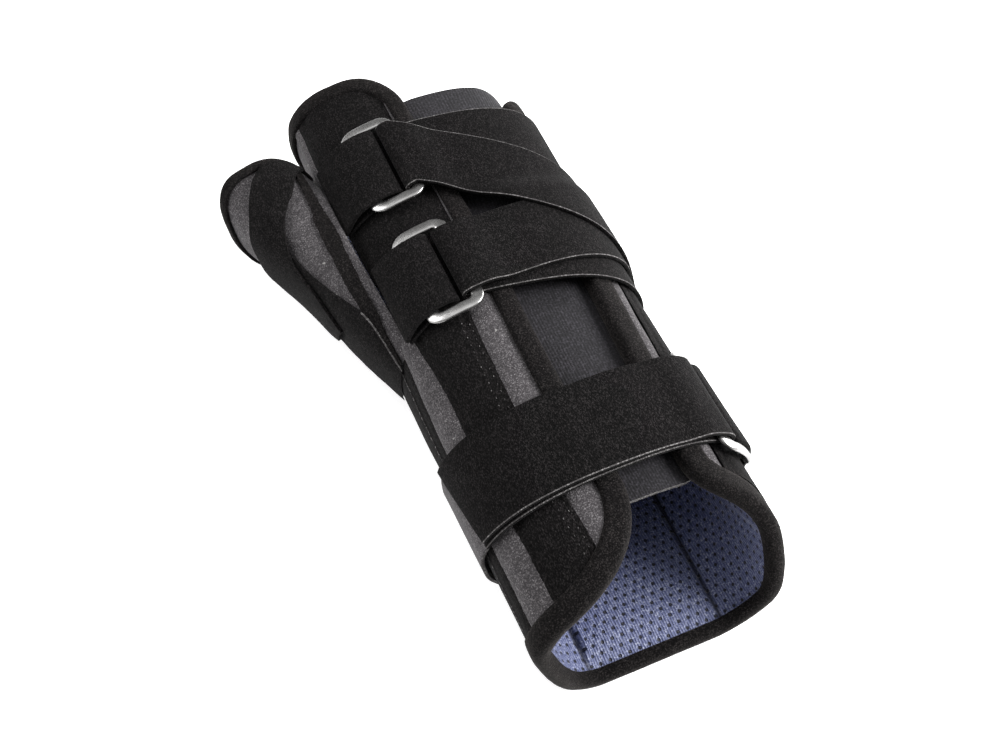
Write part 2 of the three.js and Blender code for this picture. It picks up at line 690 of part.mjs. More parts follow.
const rim = toManifold(thumbRim()).subtract(sleeveRoom).subtract(overTape);
const windings = sleeveBand(THUMB_STRAP, STRAP_GRID, WEBBING).subtract(overTape);
const seamTape = sleeveBand(SEAM_TAPE, TAPE_GRID, TAPE).subtract(overTape).subtract(handRooms);

const shell = toManifold(clothLayer(SHELL_IN, SHELL_OUT)).subtract(thumbHole);
const lining = toManifold(clothLayer(0, LINING)).subtract(thumbHole);

function fabric(color, roughness) {
  return new THREE.MeshStandardMaterial({ color, roughness, metalness: 0 });
}

const GREY = fabric(0x5a575a, 0.95);
const BLACK = fabric(0x1d1b1d, 0.95);
const BLUE = fabric(0x5266a0, 0.85);
const SMOOTH = fabric(0x333136, 0.8);
const METAL = new THREE.MeshStandardMaterial({ color: 0xc9c9c6, roughness: 0.35, metalness: 1 });

const brace = new THREE.Group();
brace.name = "wrist_thumb_brace";

function place(name, geometry, material) {
  const mesh = new THREE.Mesh(geometry, material.clone());
  mesh.name = name;
  brace.add(mesh);
}

place("shell", toGeometry(shell), GREY);
place("lining", toGeometry(lining), BLUE);
place("edge_binding", edgeBinding(), BLACK);
place("tongue", tonguePanel(), SMOOTH);

const clearOfBinding = BINDING + GAP + 2 * FACETS;
const elbowSide = (share) => insideEnd(elbowEnd, share, clearOfBinding);
const handSide = (share) => insideEnd(handEnd, share, -clearOfBinding);
place("stay_pocket", clothBand(STAY_POCKET, elbowSide, handSide), BLACK);
const thumbStay = clothBand(THUMB_STAY, elbowSide, () => THUMB_STAY.hand);
place("thumb_stay_pocket", toGeometry(toManifold(thumbStay).subtract(thumbOutside)), BLACK);
const littleStay = { from: CLOTH.around - LITTLE_STAY.to, to: CLOTH.around - LITTLE_STAY.from };
place("little_stay_pocket", clothBand(littleStay, elbowSide, handSide), BLACK);

place("hand_ring", metalRing(HAND_RING), METAL);
place("wrist_ring", metalRing(WRIST_RING), METAL);
place("elbow_ring", metalRing(ELBOW_RING), METAL);

// A tab turned round the bar on one side of a ring, and a strap turned round the other
function ringTab(name, ring, side, { width, end }) {
  const turn = { g: ring.g + side * BAR_OFFSET, y: ring.y, width };
  place(name, foldedBand({ sewn: end, turn, free: end, reach: TAB_REACH, lift: 0 }), BLACK);
}

function ringStrap(name, ring, side, { width, sewn, free, lift }) {
  const turn = { g: ring.g + side * BAR_OFFSET, y: ring.y, width };
  place(name, foldedBand({ sewn, turn, free, reach: STRAP_REACH, lift }), BLACK);
}

ringTab("hand_tab", HAND_RING, -1, HAND_TAB);
ringTab("wrist_tab", WRIST_RING, -1, WRIST_TAB);
ringTab("elbow_tab", ELBOW_RING, 1, ELBOW_TAB);
ringStrap("hand_strap", HAND_RING, 1, HAND_STRAP);
ringStrap("wrist_strap", WRIST_RING, 1, WRIST_STRAP);
ringStrap("elbow_strap", ELBOW_RING, -1, ELBOW_STRAP);

place("thumb_sleeve", toGeometry(sleeve), GREY);
place("thumb_strap", toGeometry(windings), BLACK);
place("thumb_binding", toGeometry(rim), BLACK);
place("thumb_seam_tape", toGeometry(seamTape), BLACK);

// The brace stands on the origin, its middle above it
const box = new THREE.Box3().setFromObject(brace);
const centre = box.getCenter(new THREE.Vector3());
brace.position.set(-centre.x, -centre.y, -box.min.z);

export default brace;
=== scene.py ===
import bpy
import bisect
import math
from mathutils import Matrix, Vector, noise


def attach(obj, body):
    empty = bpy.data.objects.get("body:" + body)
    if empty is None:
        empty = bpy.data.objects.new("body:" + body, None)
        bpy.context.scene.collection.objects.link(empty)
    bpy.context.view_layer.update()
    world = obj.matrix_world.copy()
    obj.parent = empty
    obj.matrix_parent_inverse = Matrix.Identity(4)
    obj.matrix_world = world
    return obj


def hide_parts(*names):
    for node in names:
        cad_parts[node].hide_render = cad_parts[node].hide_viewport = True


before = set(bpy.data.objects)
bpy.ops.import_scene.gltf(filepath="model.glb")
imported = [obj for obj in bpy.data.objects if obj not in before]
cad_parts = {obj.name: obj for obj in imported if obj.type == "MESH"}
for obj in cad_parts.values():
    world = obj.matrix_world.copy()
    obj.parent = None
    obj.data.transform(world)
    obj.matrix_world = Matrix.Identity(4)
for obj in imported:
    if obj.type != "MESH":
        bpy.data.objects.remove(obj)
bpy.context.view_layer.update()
print("frame loaded,", len(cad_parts), "nodes")

# pattern sizes are in millimetres and become metres where a point is placed
mm = 0.001

braceForm = {
    # along the arm: thumb half width, little half width, height, thumb edge and little edge of the opening
    "rows": [
        (-150, 43, 41.3, 54, 0, 19),
        (-100, 43, 40.4, 54, -1.5, 19.5),
        (-62, 42.8, 39.2, 53.3, -4.3, 20.9),
        (-25, 43.3, 38.7, 51.6, -4.4, 23.2),
        (10, 43.3, 38.7, 49.2, -3.4, 26.1),
        (50, 42.5, 38.7, 46, -3.4, 29.8),
        (100, 42.7, 39.6, 43, -5, 34.5),
        (150, 42.7, 40, 41, -5, 38),
    ],
    # along the arm: how far the thumb wall and the little wall lean in towards the palm
    "leans": [(-150, 0.175, 0.055), (-100, 0.09, 0.045), (-62, 0.035, 0.03), (-25, 0.01, 0.015), (10, 0, 0)],
    "leanBelow": 0.66, "leanLow": 0.7,
    "steps": 160,
    "squareness": 2.5,
    "pressedFlat": 2.4,
    "palmHeight": 4.8,
    "shift": (17.6859, -0.2732, 0.5),  # from the middle of the arm to the frame
}

# depths out from the lining's inner face
layers = {
    "shellIn": 1.3, "shellOut": 3.5, "tapeOut": 4.8, "bindingOut": 5.3,
    "strapLow": 6.45, "strapHigh": 8.25, "ringMid": 8.45, "turnRise": 2.0, "webbing": 1.3,
}

flatCloth = {
    "around": 205, "elbow": -125.5,
    "thumbFlap": (8.5, 85, 34), "littleFlap": (27, 52, 12),  # rise, over, corner
    "handRows": [(0, 122), (0.1, 124), (0.2, 126), (0.3, 125), (0.5, 114), (0.75, 100), (1, 96)],
    "handCorners": (21, 9),
}

# the band along the back and the hand panel widen from the wrist to the knuckles
backPocket = {
    "from": 16.5, "handFrom": 7.2, "to": 34.5, "handTo": 47.5, "wrist": -40, "knuckles": 60,
    "strip": (-6, 26),  # where the inner edge moves from its one place to the other
}
handPanel = {"from": 16.5, "to": 39, "handTo": 51.6, "wrist": -20, "knuckles": 75}


# helpers
def smoothStep(value, low=0.0, high=1.0):
    t = min(1.0, max(0.0, (value - low) / (high - low)))
    return t * t * (3 - 2 * t)


def mix(a, b, t):
    return a + (b - a) * t


def smoothRow(rows, at):  # cubic values between the rows of a table
    if at <= rows[0][0]:
        return rows[0][1:]
    if at >= rows[-1][0]:
        return rows[-1][1:]
    upper = next(i for i, row in enumerate(rows) if row[0] > at)
    row0, row1 = rows[upper - 1], rows[upper]
    prev = rows[upper - 2] if upper > 1 else row1
    after = rows[upper + 1] if upper + 1 < len(rows) else row0
    t0, t1 = row0[0], row1[0]
    prevAt = prev[0] if upper > 1 else t1
    afterAt = after[0] if upper + 1 < len(rows) else t0
    half = (t1 - t0) / 2
    wP, wN = half / (t0 - prevAt), half / (afterAt - t1)
    p = (at - t0) / (t1 - t0)
    sP = -wP * p ** 3 + 2 * wP * p ** 2 - wP * p
    s0 = (1 + wP) * p ** 3 + (-1.5 - 2 * wP) * p ** 2 + (-0.5 + wP) * p + 1
    s1 = (-1 - wN) * p ** 3 + (1.5 + wN) * p ** 2 + 0.5 * p
    sN = wN * p ** 3 - wN * p ** 2
    columns = zip(prev[1:], row0[1:], row1[1:], after[1:])
    return tuple(sP * a + s0 * b + s1 * c + sN * d for a, b, c, d in columns)


def squared(value, squareness):
    return math.copysign(abs(value) ** (2 / squareness), value)


sections = {}


def section(y):  # one cut across the form, kept for each whole millimetre
    if y in sections:
        return sections[y]
    thumbHalf, littleHalf, height, thumbEdge, littleEdge = smoothRow(braceForm["rows"], y)
    palm, flat, steps = braceForm["palmHeight"], braceForm["pressedFlat"], braceForm["steps"]
    thumbLean, littleLean = smoothRow(braceForm["leans"], y)
    tall = (height + flat) / 2
    points = []
    for i in range(steps):
        angle = 2 * math.pi * i / steps
        side, lean = (littleHalf, littleLean) if angle < math.pi else (thumbHalf, thumbLean)
        z = max(palm - flat + tall + tall * squared(math.cos(angle), braceForm["squareness"]), palm)
        low = min(1, (z - palm) / (braceForm["leanBelow"] * height))
        narrowed = 1 - lean * math.sin(math.pi * low ** braceForm["leanLow"])
        points.append((side * squared(math.sin(angle), braceForm["squareness"]) * narrowed, z))
    walked, out, girth = [], [], 0
    for i, (x, z) in enumerate(points):
        before, after = points[i - 1], points[(i + 1) % steps]
        tilt = math.hypot(after[0] - before[0], after[1] - before[1])
        out.append((-(after[1] - before[1]) / tilt, (after[0] - before[0]) / tilt))
        walked.append(girth)
        girth += math.hypot(after[0] - x, after[1] - z)
    sections[y] = (points, out, walked + [girth], girth, thumbEdge, littleEdge)
    return sections[y]


def onSection(y, g, d):
    points, out, walked, girth, _, _ = section(y)
    g = g % girth
    i = min(bisect.bisect_right(walked, g) - 1, len(points) - 1)
    k = (i + 1) % len(points)
    t = (g - walked[i]) / (walked[i + 1] - walked[i])
    nx, nz = mix(out[i][0], out[k][0], t), mix(out[i][1], out[k][1], t)
    size = math.hypot(nx, nz)
    x, z = mix(points[i][0], points[k][0], t), mix(points[i][1], points[k][1], t)
    return x + d * nx / size, z + d * nz / size


def toFrame(x, y, z):
    sx, sy, sz = braceForm["shift"]
    return Vector(((x + sx) * mm, (y + sy) * mm, (z + sz) * mm))


def onForm(g, y, d):  # g round the arm from its crest, y along it, d out from the lining
    low = math.floor(y)
    ax, az = onSection(low, g, d)
    bx, bz = onSection(low + 1, g, d)
    return toFrame(mix(ax, bx, y - low), y, mix(az, bz, y - low))


def openingAt(y):  # girth, thumb edge and little edge
    low = math.floor(y)
    return [mix(a, b, y - low) for a, b in zip(section(low)[3:], section(low + 1)[3:])]


def roundArm(share, y):  # share 0 at the thumb edge, round by the palm to 1
    girth, thumbEdge, littleEdge = openingAt(y)
    return thumbEdge - share * (girth - littleEdge + thumbEdge)


def onCloth(share, y, d):
    return onForm(roundArm(share, y), y, d)


def cornerCut(distance, radius):
    return 0 if distance >= radius else radius - math.sqrt(max(0, radius ** 2 - (radius - distance) ** 2))


def elbowEnd(share):
    rise, over, corner = flatCloth["thumbFlap"] if share < 0.5 else flatCloth["littleFlap"]
    distance = max(0, min(share, 1 - share)) * flatCloth["around"]
    return flatCloth["elbow"] + rise * smoothStep(1 - distance / over) + cornerCut(distance, corner)


def handEnd(share):
    inside = min(1, max(0, share))
    thumb, little = flatCloth["handCorners"]
    cut = cornerCut(inside * flatCloth["around"], thumb) + cornerCut((1 - inside) * flatCloth["around"], little)
    return smoothRow(flatCloth["handRows"], inside)[0] - cut


def widening(band, y):
    return mix(band["to"], band["handTo"], smoothStep(y, band["wrist"], band["knuckles"]))


def innerEdge(band, y):
    return mix(band["from"], band.get("handFrom", band["from"]), smoothStep(y, *band.get("strip", (0, 1))))


def spread(u):  # columns closer together near the two edges
    return u - 0.8 * math.sin(2 * math.pi * u) / (2 * math.pi)


def bumpy(a, b, size, seed):  # soft cloth unevenness, about -1 to 1
    return noise.noise(Vector((a / size, b / size, seed * 7.31)))


# mesh helpers
def layGrid(name, columns, rows, place, flat):
    bpy.ops.object.select_all(action="DESELECT")
    bpy.ops.mesh.primitive_grid_add(x_subdivisions=columns, y_subdivisions=rows, size=2)
    piece = bpy.context.object
    piece.name = piece.data.name = name
    spots = [((v.co.x + 1) / 2, (v.co.y + 1) / 2) for v in piece.data.vertices]
    for v, (s, t) in zip(piece.data.vertices, spots):
        v.co = place(s, t)
    uv = piece.data.uv_layers.active.data
    for loop in piece.data.loops:
        uv[loop.index].uv = flat(*spots[loop.vertex_index])
    return piece


def layRing(name, stations, corners, place, flatSize):  # a closed tube, from a torus
    bpy.ops.object.select_all(action="DESELECT")
    bpy.ops.mesh.primitive_torus_add(major_segments=stations, minor_segments=corners, generate_uvs=True)
    piece = bpy.context.object
    piece.name = piece.data.name = name
    for k, v in enumerate(piece.data.vertices):
        v.co = place(k // corners, k % corners)
    for spot in piece.data.uv_layers.active.data:
        spot.uv = (spot.uv[0] * flatSize[0], spot.uv[1] * flatSize[1])
    return piece


def pick(piece):
    bpy.ops.object.select_all(action="DESELECT")
    piece.select_set(True)
    bpy.context.view_layer.objects.active = piece


def editMesh(piece, *steps):
    pick(piece)
    bpy.ops.object.mode_set(mode="EDIT")
    bpy.ops.mesh.select_all(action="SELECT")
    for step in steps:
        step()
    bpy.ops.object.mode_set(mode="OBJECT")


def closeSeam():
    bpy.ops.mesh.remove_doubles(threshold=2e-6)


def faceOut():
    bpy.ops.mesh.normals_make_consistent(inside=False)


def fillEnds():
    bpy.ops.mesh.fill_holes(sides=0)


def useModifier(piece, kind, **values):
    pick(piece)
    bpy.ops.object.modifier_add(type=kind)
    modifier = piece.modifiers[-1]
    for key, value in values.items():
        setattr(modifier, key, value)
    bpy.ops.object.modifier_apply(modifier=modifier.name)


def outwards(piece):  # the solidify offset that thickens a cloth away from its outer side
    return 1.0 if piece.data.polygons[0].normal.z < 0 else -1.0


def thicken(piece, thick, offset=-1.0, edge=0):
    useModifier(piece, "SOLIDIFY", thickness=thick * mm, offset=offset, use_quality_normals=True,
                material_offset_rim=edge)


def roundEdges(piece, width, segments=2):
    useModifier(piece, "BEVEL", width=width * mm, segments=segments, limit_method="ANGLE",
                angle_limit=math.radians(50), use_clamp_overlap=True)


def subtract(piece, cutter):
    useModifier(piece, "BOOLEAN", operation="DIFFERENCE", object=cutter, solver="MANIFOLD")


def wear(piece, *finishes):
    piece.data.materials.clear()
    for finish in finishes:
        piece.data.materials.append(finish)


def finishPiece(piece, slotName, *nodes, angle=40):
    pick(piece)
    bpy.ops.object.shade_smooth_by_angle(angle=math.radians(angle))
    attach(piece, "root")
    if nodes:
        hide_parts(*nodes)


def faceArea(piece):
    return sum(face.area for face in piece.data.polygons)


# shader helpers
nodeRow = {"long": 8, "step": 220}


def putNode(tree, kind, **values):  # nodes stand in rows, in the order they are made
    node = tree.nodes.new(kind)
    row, column = divmod(len(tree.nodes), nodeRow["long"])
    node.location = (nodeRow["step"] * (column - nodeRow["long"]), -nodeRow["step"] * row)
    for key, value in values.items():
        setattr(node, key, value)
    return node


def doMath(tree, operation, a, b=None):
    node = putNode(tree, "ShaderNodeMath", operation=operation)
    for socket, value in zip(node.inputs, (a, b)):
        if value is None:
            continue
        if isinstance(value, (int, float)):
            socket.default_value = value
        else:
            tree.links.new(value, socket)
    return node.outputs[0]


def mapRange(tree, value, fromLow, fromHigh, toLow, toHigh):
    node = putNode(tree, "ShaderNodeMapRange", interpolation_type="SMOOTHSTEP")
    for socket, number in zip(list(node.inputs)[1:5], (fromLow, fromHigh, toLow, toHigh)):
        socket.default_value = number
    tree.links.new(value, node.inputs[0])
    return node.outputs[0]


def mixColour(tree, factor, a, b, blend="MIX"):
    node = putNode(tree, "ShaderNodeMix", data_type="RGBA", blend_type=blend)
    for socket, value in ((node.inputs[0], factor), (node.inputs[6], a), (node.inputs[7], b)):
        if isinstance(value, (int, float)):
            socket.default_value = value
        elif isinstance(value, tuple):
            socket.default_value = (*value, 1.0)
        else:
            tree.links.new(value, socket)
    return node.outputs[2]


def startGroup(name, inputs, outputs):
    tree = bpy.data.node_groups.new(name, "ShaderNodeTree")
    for label, kind, value in inputs:
        socket = tree.interface.new_socket(label, in_out="INPUT", socket_type=kind)
        if value is not None:
            socket.default_value = value
    for label, kind in outputs:
        tree.interface.new_socket(label, in_out="OUTPUT", socket_type=kind)
    return tree, putNode(tree, "NodeGroupInput"), putNode(tree, "NodeGroupOutput")


def noiseOn(tree, vector, scale, detail, rough=0.6):
    node = putNode(tree, "ShaderNodeTexNoise")
    node.inputs["Detail"].default_value = detail
    node.inputs["Roughness"].default_value = rough
    tree.links.new(vector, node.inputs["Vector"])
    if isinstance(scale, (int, float)):
        node.inputs["Scale"].default_value = scale
    else:
        tree.links.new(scale, node.inputs["Scale"])
    return node.outputs["Fac"]


# brushed loop pile: pale loop tips over a darker ground, with the pile laid in patches
def makeNap():
    tree, start, end = startGroup("brushedNap", [
        ("Vector", "NodeSocketVector", None), ("Ground", "NodeSocketColor", (0.1, 0.1, 0.1, 1)),
        ("Tips", "NodeSocketColor", (0.3, 0.3, 0.3, 1)), ("Scale", "NodeSocketFloat", 1500.0),
        ("Amount", "NodeSocketFloat", 0.6),
    ], [("Colour", "NodeSocketColor"), ("Height", "NodeSocketFloat")])
    fine = noiseOn(tree, start.outputs["Vector"], start.outputs["Scale"], 2, 0.7)
    coarse = noiseOn(tree, start.outputs["Vector"], doMath(tree, "MULTIPLY", start.outputs["Scale"], 0.3),
                     2)
    patch = noiseOn(tree, start.outputs["Vector"], doMath(tree, "MULTIPLY", start.outputs["Scale"], 0.05),
                    2)
    loops = putNode(tree, "ShaderNodeTexVoronoi")
    tree.links.new(start.outputs["Vector"], loops.inputs["Vector"])
    tree.links.new(start.outputs["Scale"], loops.inputs["Scale"])
    cell = putNode(tree, "ShaderNodeSeparateColor")
    tree.links.new(loops.outputs["Color"], cell.inputs[0])
    loopTip = doMath(tree, "MULTIPLY", mapRange(tree, cell.outputs[0], 0.5, 1, 0, 1),
                     mapRange(tree, loops.outputs["Distance"], 0.1, 0.6, 1, 0))
    tips = doMath(tree, "MULTIPLY", mapRange(tree, fine, 0.47, 0.68, 0, 0.8),
                  mapRange(tree, coarse, 0.3, 0.7, 0.35, 1))
    tips = doMath(tree, "MULTIPLY", doMath(tree, "MAXIMUM", tips, loopTip), start.outputs["Amount"])
    colour = mixColour(tree, tips, start.outputs["Ground"], start.outputs["Tips"])
    shade = mapRange(tree, patch, 0.3, 0.7, 0.85, 1.12)
    grey = putNode(tree, "ShaderNodeCombineXYZ")
    for socket in grey.inputs:
        tree.links.new(shade, socket)
    colour = mixColour(tree, 1.0, colour, grey.outputs[0], "MULTIPLY")
    height = doMath(tree, "ADD", doMath(tree, "MULTIPLY", fine, 0.6),
                    doMath(tree, "MULTIPLY", loops.outputs["Distance"], -0.4))
    height = doMath(tree, "ADD", height, doMath(tree, "MULTIPLY", coarse, 0.5))
    tree.links.new(colour, end.inputs["Colour"])
    tree.links.new(height, end.inputs["Height"])
    return tree


# short pale fibres caught in the cloth
def makeLint():
    tree, start, end = startGroup("looseLint", [
        ("Vector", "NodeSocketVector", None), ("Cloth", "NodeSocketColor", (0.1, 0.1, 0.1, 1)),
        ("Lint", "NodeSocketColor", (0.4, 0.4, 0.4, 1)), ("Scale", "NodeSocketFloat", 260.0),
        ("Reach", "NodeSocketFloat", 0.1),
    ], [("Colour", "NodeSocketColor")])
    warp = putNode(tree, "ShaderNodeTexNoise")
    warp.inputs["Scale"].default_value = 420
    tree.links.new(start.outputs["Vector"], warp.inputs["Vector"])
    bent = putNode(tree, "ShaderNodeVectorMath", operation="MULTIPLY_ADD")
    bent.inputs[1].default_value = (0.002, 0.002, 0.002)
    tree.links.new(warp.outputs["Color"], bent.inputs[0])
    tree.links.new(start.outputs["Vector"], bent.inputs[2])
    cells = putNode(tree, "ShaderNodeTexVoronoi")
    tree.links.new(bent.outputs[0], cells.inputs["Vector"])
    tree.links.new(start.outputs["Scale"], cells.inputs["Scale"])
    near = doMath(tree, "LESS_THAN", cells.outputs["Distance"], start.outputs["Reach"])
    some = putNode(tree, "ShaderNodeSeparateColor")
    tree.links.new(cells.outputs["Color"], some.inputs[0])
    few = doMath(tree, "GREATER_THAN", some.outputs[0], 0.8)
    fleck = doMath(tree, "MULTIPLY", near, few)
    fleck = doMath(tree, "MULTIPLY", fleck, 0.55)
    tree.links.new(mixColour(tree, fleck, start.outputs["Cloth"], start.outputs["Lint"]), end.inputs["Colour"])
    return tree


napGroup, lintGroup = makeNap(), makeLint()


def startFinish(name, rough=0.9, sheen=0.0, sheenRough=0.4, specular=0.3):
    finish = bpy.data.materials.new(name)
    finish.use_nodes = True
    tree = finish.node_tree
    shader = tree.nodes["Principled BSDF"]
    shader.inputs["Roughness"].default_value = rough
    shader.inputs["Sheen Weight"].default_value = sheen
    shader.inputs["Sheen Roughness"].default_value = sheenRough
    shader.inputs["Specular IOR Level"].default_value = specular
    place = putNode(tree, "ShaderNodeTexCoord")
    return finish, tree, shader, place


def bumpFrom(tree, shader, height, distance, strength):
    bump = putNode(tree, "ShaderNodeBump")
    bump.inputs["Strength"].default_value = strength
    bump.inputs["Distance"].default_value = distance * mm
    tree.links.new(height, bump.inputs["Height"])
    tree.links.new(bump.outputs[0], shader.inputs["Normal"])


def putGroup(tree, group, vector, **values):
    node = putNode(tree, "ShaderNodeGroup", node_tree=group)
    tree.links.new(vector, node.inputs["Vector"])
    for key, value in values.items():
        if isinstance(value, tuple):
            node.inputs[key].default_value = (*value, 1.0)
        elif isinstance(value, (int, float)):
            node.inputs[key].default_value = value
        else:
            tree.links.new(value, node.inputs[key])
    return node


def pileFinish(name, ground, tips, lint, scale, amount, sheen, bump, reach=0.1, laid=1.0):
    finish, tree, shader, place = startFinish(name, 0.95, sheen, 0.4, 0.08)
    combed = putNode(tree, "ShaderNodeMapping")
    combed.inputs["Scale"].default_value = (1.0, laid, 1.0)
    tree.links.new(place.outputs["Object"], combed.inputs["Vector"])
    nap = putGroup(tree, napGroup, combed.outputs[0], Ground=ground, Tips=tips, Scale=scale,
                   Amount=amount)
    flecks = putGroup(tree, lintGroup, place.outputs["Object"], Cloth=nap.outputs["Colour"], Lint=lint,
                      Reach=reach)
    tree.links.new(flecks.outputs["Colour"], shader.inputs["Base Color"])
    bumpFrom(tree, shader, nap.outputs["Height"], bump, 0.9)
    return finish


greyLoop = pileFinish("greyLoopCloth", (0.04, 0.037, 0.039), (0.208, 0.196, 0.202), (0.36, 0.35, 0.34),
                      scale=1800.0, amount=0.9, sheen=0.12, bump=0.35)
blackLoop = pileFinish("blackLoopCloth", (0.0012, 0.0011, 0.0011), (0.043, 0.0385, 0.039), (0.075, 0.07, 0.07),
                       scale=2700.0, amount=0.6, sheen=0.025, bump=0.25, reach=0.03, laid=0.45)
blackTape = pileFinish("blackBindingTape", (0.0018, 0.0016, 0.0017), (0.046, 0.041, 0.04), (0.1, 0.09, 0.085),
                       scale=1900.0, amount=0.65, sheen=0.07, bump=0.35, reach=0.04)
blackTape.node_tree.nodes["Principled BSDF"].inputs["Sheen Tint"].default_value = (0.8, 0.72, 0.68, 1)
cutEdge = pileFinish("cutWebbingEdge", (0.05, 0.047, 0.047), (0.3, 0.29, 0.285), (0.4, 0.39, 0.38),
                     scale=1500.0, amount=0.85, sheen=0.05, bump=0.2)
paleThread = pileFinish("paleThread", (0.04, 0.038, 0.038), (0.3, 0.29, 0.285), (0.3, 0.3, 0.3),
                        scale=900.0, amount=0.85, sheen=0.05, bump=0.1)


def makeTongueCloth():  # smooth knit with faint ribs along the arm
    finish, tree, shader, place = startFinish("smoothCharcoalKnit", 0.8, 0.05, 0.5, 0.2)
    split = putNode(tree, "ShaderNodeSeparateXYZ")
    tree.links.new(place.outputs["UV"], split.inputs[0])
    ribs = doMath(tree, "SINE", doMath(tree, "MULTIPLY", split.outputs["X"], 2 * math.pi / 0.0011))
    broad = noiseOn(tree, place.outputs["Object"], 60, 3)
    colour = mixColour(tree, mapRange(tree, broad, 0.3, 0.7, 0, 1), (0.0054, 0.005, 0.006),
                       (0.0094, 0.0087, 0.0104))
    colour = mixColour(tree, mapRange(tree, ribs, -1, 1, 0, 0.08), colour, (0.045, 0.044, 0.048))
    grain = noiseOn(tree, place.outputs["Object"], 1300, 2)
    colour = mixColour(tree, mapRange(tree, grain, 0.45, 0.7, 0, 0.75), colour, (0.034, 0.0315, 0.0375))
    flecks = putGroup(tree, lintGroup, place.outputs["Object"], Cloth=colour, Lint=(0.1, 0.1, 0.1), Reach=0.04)
    tree.links.new(flecks.outputs["Colour"], shader.inputs["Base Color"])
    bumpFrom(tree, shader, ribs, 0.06, 0.6)
    return finish


def makeMeshCloth():  # blue knit with staggered holes and fine ribs
    mesh = {"across": 3.6, "along": 6.2, "hole": 0.62, "rib": 0.95}
    finish, tree, shader, place = startFinish("bluePerforatedKnit", 0.6, 0.15, 0.4, 0.4)
    split = putNode(tree, "ShaderNodeSeparateXYZ")
    tree.links.new(place.outputs["UV"], split.inputs[0])
    far = []
    for half in (0.0, 0.5):
        parts = []
        for axis, pitch in (("X", mesh["across"]), ("Y", mesh["along"])):
            cell = doMath(tree, "MULTIPLY_ADD", split.outputs[axis], 1 / (pitch * mm))
            cell.node.inputs[2].default_value = half
            cell = doMath(tree, "FRACT", cell)
            parts.append(doMath(tree, "MULTIPLY", doMath(tree, "SUBTRACT", cell, 0.5), pitch))
        squares = [doMath(tree, "POWER", part, 2.0) for part in parts]
        far.append(doMath(tree, "SQRT", doMath(tree, "ADD", *squares)))
    away = doMath(tree, "MINIMUM", *far)
    hole = mapRange(tree, away, mesh["hole"] * 0.72, mesh["hole"] * 1.25, 1, 0)
    dimple = mapRange(tree, away, 0.3, 2.0, 0, 1)
    knit = noiseOn(tree, place.outputs["Object"], 1500, 2)
    wander = doMath(tree, "MULTIPLY_ADD", knit, 3.4)
    across = doMath(tree, "MULTIPLY", split.outputs["X"], 2 * math.pi / (mesh["rib"] * mm))
    tree.links.new(across, wander.node.inputs[2])
    ribs = doMath(tree, "SINE", wander)
    broad = noiseOn(tree, place.outputs["Object"], 55, 2)
    colour = mixColour(tree, mapRange(tree, broad, 0.3, 0.7, 0, 1), (0.09, 0.106, 0.21), (0.112, 0.129, 0.24))
    colour = mixColour(tree, mapRange(tree, ribs, -1, 1, 0.8, 0.0), colour, (0.026, 0.033, 0.085))
    # pale knit flecks: the yarn's paler fibres, with painted glints mixed in
    colour = mixColour(tree, mapRange(tree, knit, 0.5, 0.74, 0, 0.7), colour, (0.4, 0.42, 0.53))
    # painted shade: the lining's colour darkened along its two creases
    fold = putNode(tree, "ShaderNodeAttribute", attribute_name="paintedCreaseShade")
    colour = mixColour(tree, fold.outputs["Fac"], colour, (0.004, 0.005, 0.014))
    # painted highlight: a pale line along the ridge on the little-finger wall
    ridge = putNode(tree, "ShaderNodeAttribute", attribute_name="paintedRidgeHighlight")
    colour = mixColour(tree, ridge.outputs["Fac"], colour, (0.3, 0.32, 0.42))
    colour = mixColour(tree, hole, colour, (0.004, 0.0048, 0.012))
    tree.links.new(colour, shader.inputs["Base Color"])
    height = doMath(tree, "ADD", doMath(tree, "MULTIPLY", dimple, 0.55), doMath(tree, "MULTIPLY", ribs, 0.16))
    height = doMath(tree, "SUBTRACT", height, doMath(tree, "MULTIPLY", hole, 0.7))
    height = doMath(tree, "ADD", height, doMath(tree, "MULTIPLY", knit, 0.3))
    bumpFrom(tree, shader, height, 0.45, 0.9)
    return finish


def makeRingMetal():  # satin nickel, a little darker in patches
    finish, tree, shader, place = startFinish("satinNickel", 0.3, 0, 0.4, 0.5)
    shader.inputs["Metallic"].default_value = 1.0
    patch = noiseOn(tree, place.outputs["Object"], 160, 3)
    grain = noiseOn(tree, place.outputs["Object"], 2600, 2)
    colour = mixColour(tree, mapRange(tree, patch, 0.35, 0.7, 0, 1), (0.34, 0.335, 0.33), (0.44, 0.435, 0.43))
    tree.links.new(colour, shader.inputs["Base Color"])
    tree.links.new(mapRange(tree, grain, 0.3, 0.7, 0.24, 0.36), shader.inputs["Roughness"])
    return finish


tongueCloth, meshCloth, ringMetal = makeTongueCloth(), makeMeshCloth(), makeRingMetal()
print("finishes made")


# thumb sleeve form
thumbForm = {
    "line": [(-22, -20, 28), (-36.5, 18, 28), (-48, 50, 27.5), (-59, 76.5, 26), (-69.6, 101.6, 25)],
    "radii": [(0, 16), (0.25, 17), (0.5, 15.5), (0.75, 15.5), (1, 15.2)],
    "slant": (0.6, 0.21, math.radians(114)),  # from, cut, longest side
    "squareness": 2.6, "sleeve": 2.4, "holeEnd": 0.64, "rim": 4.8,
}


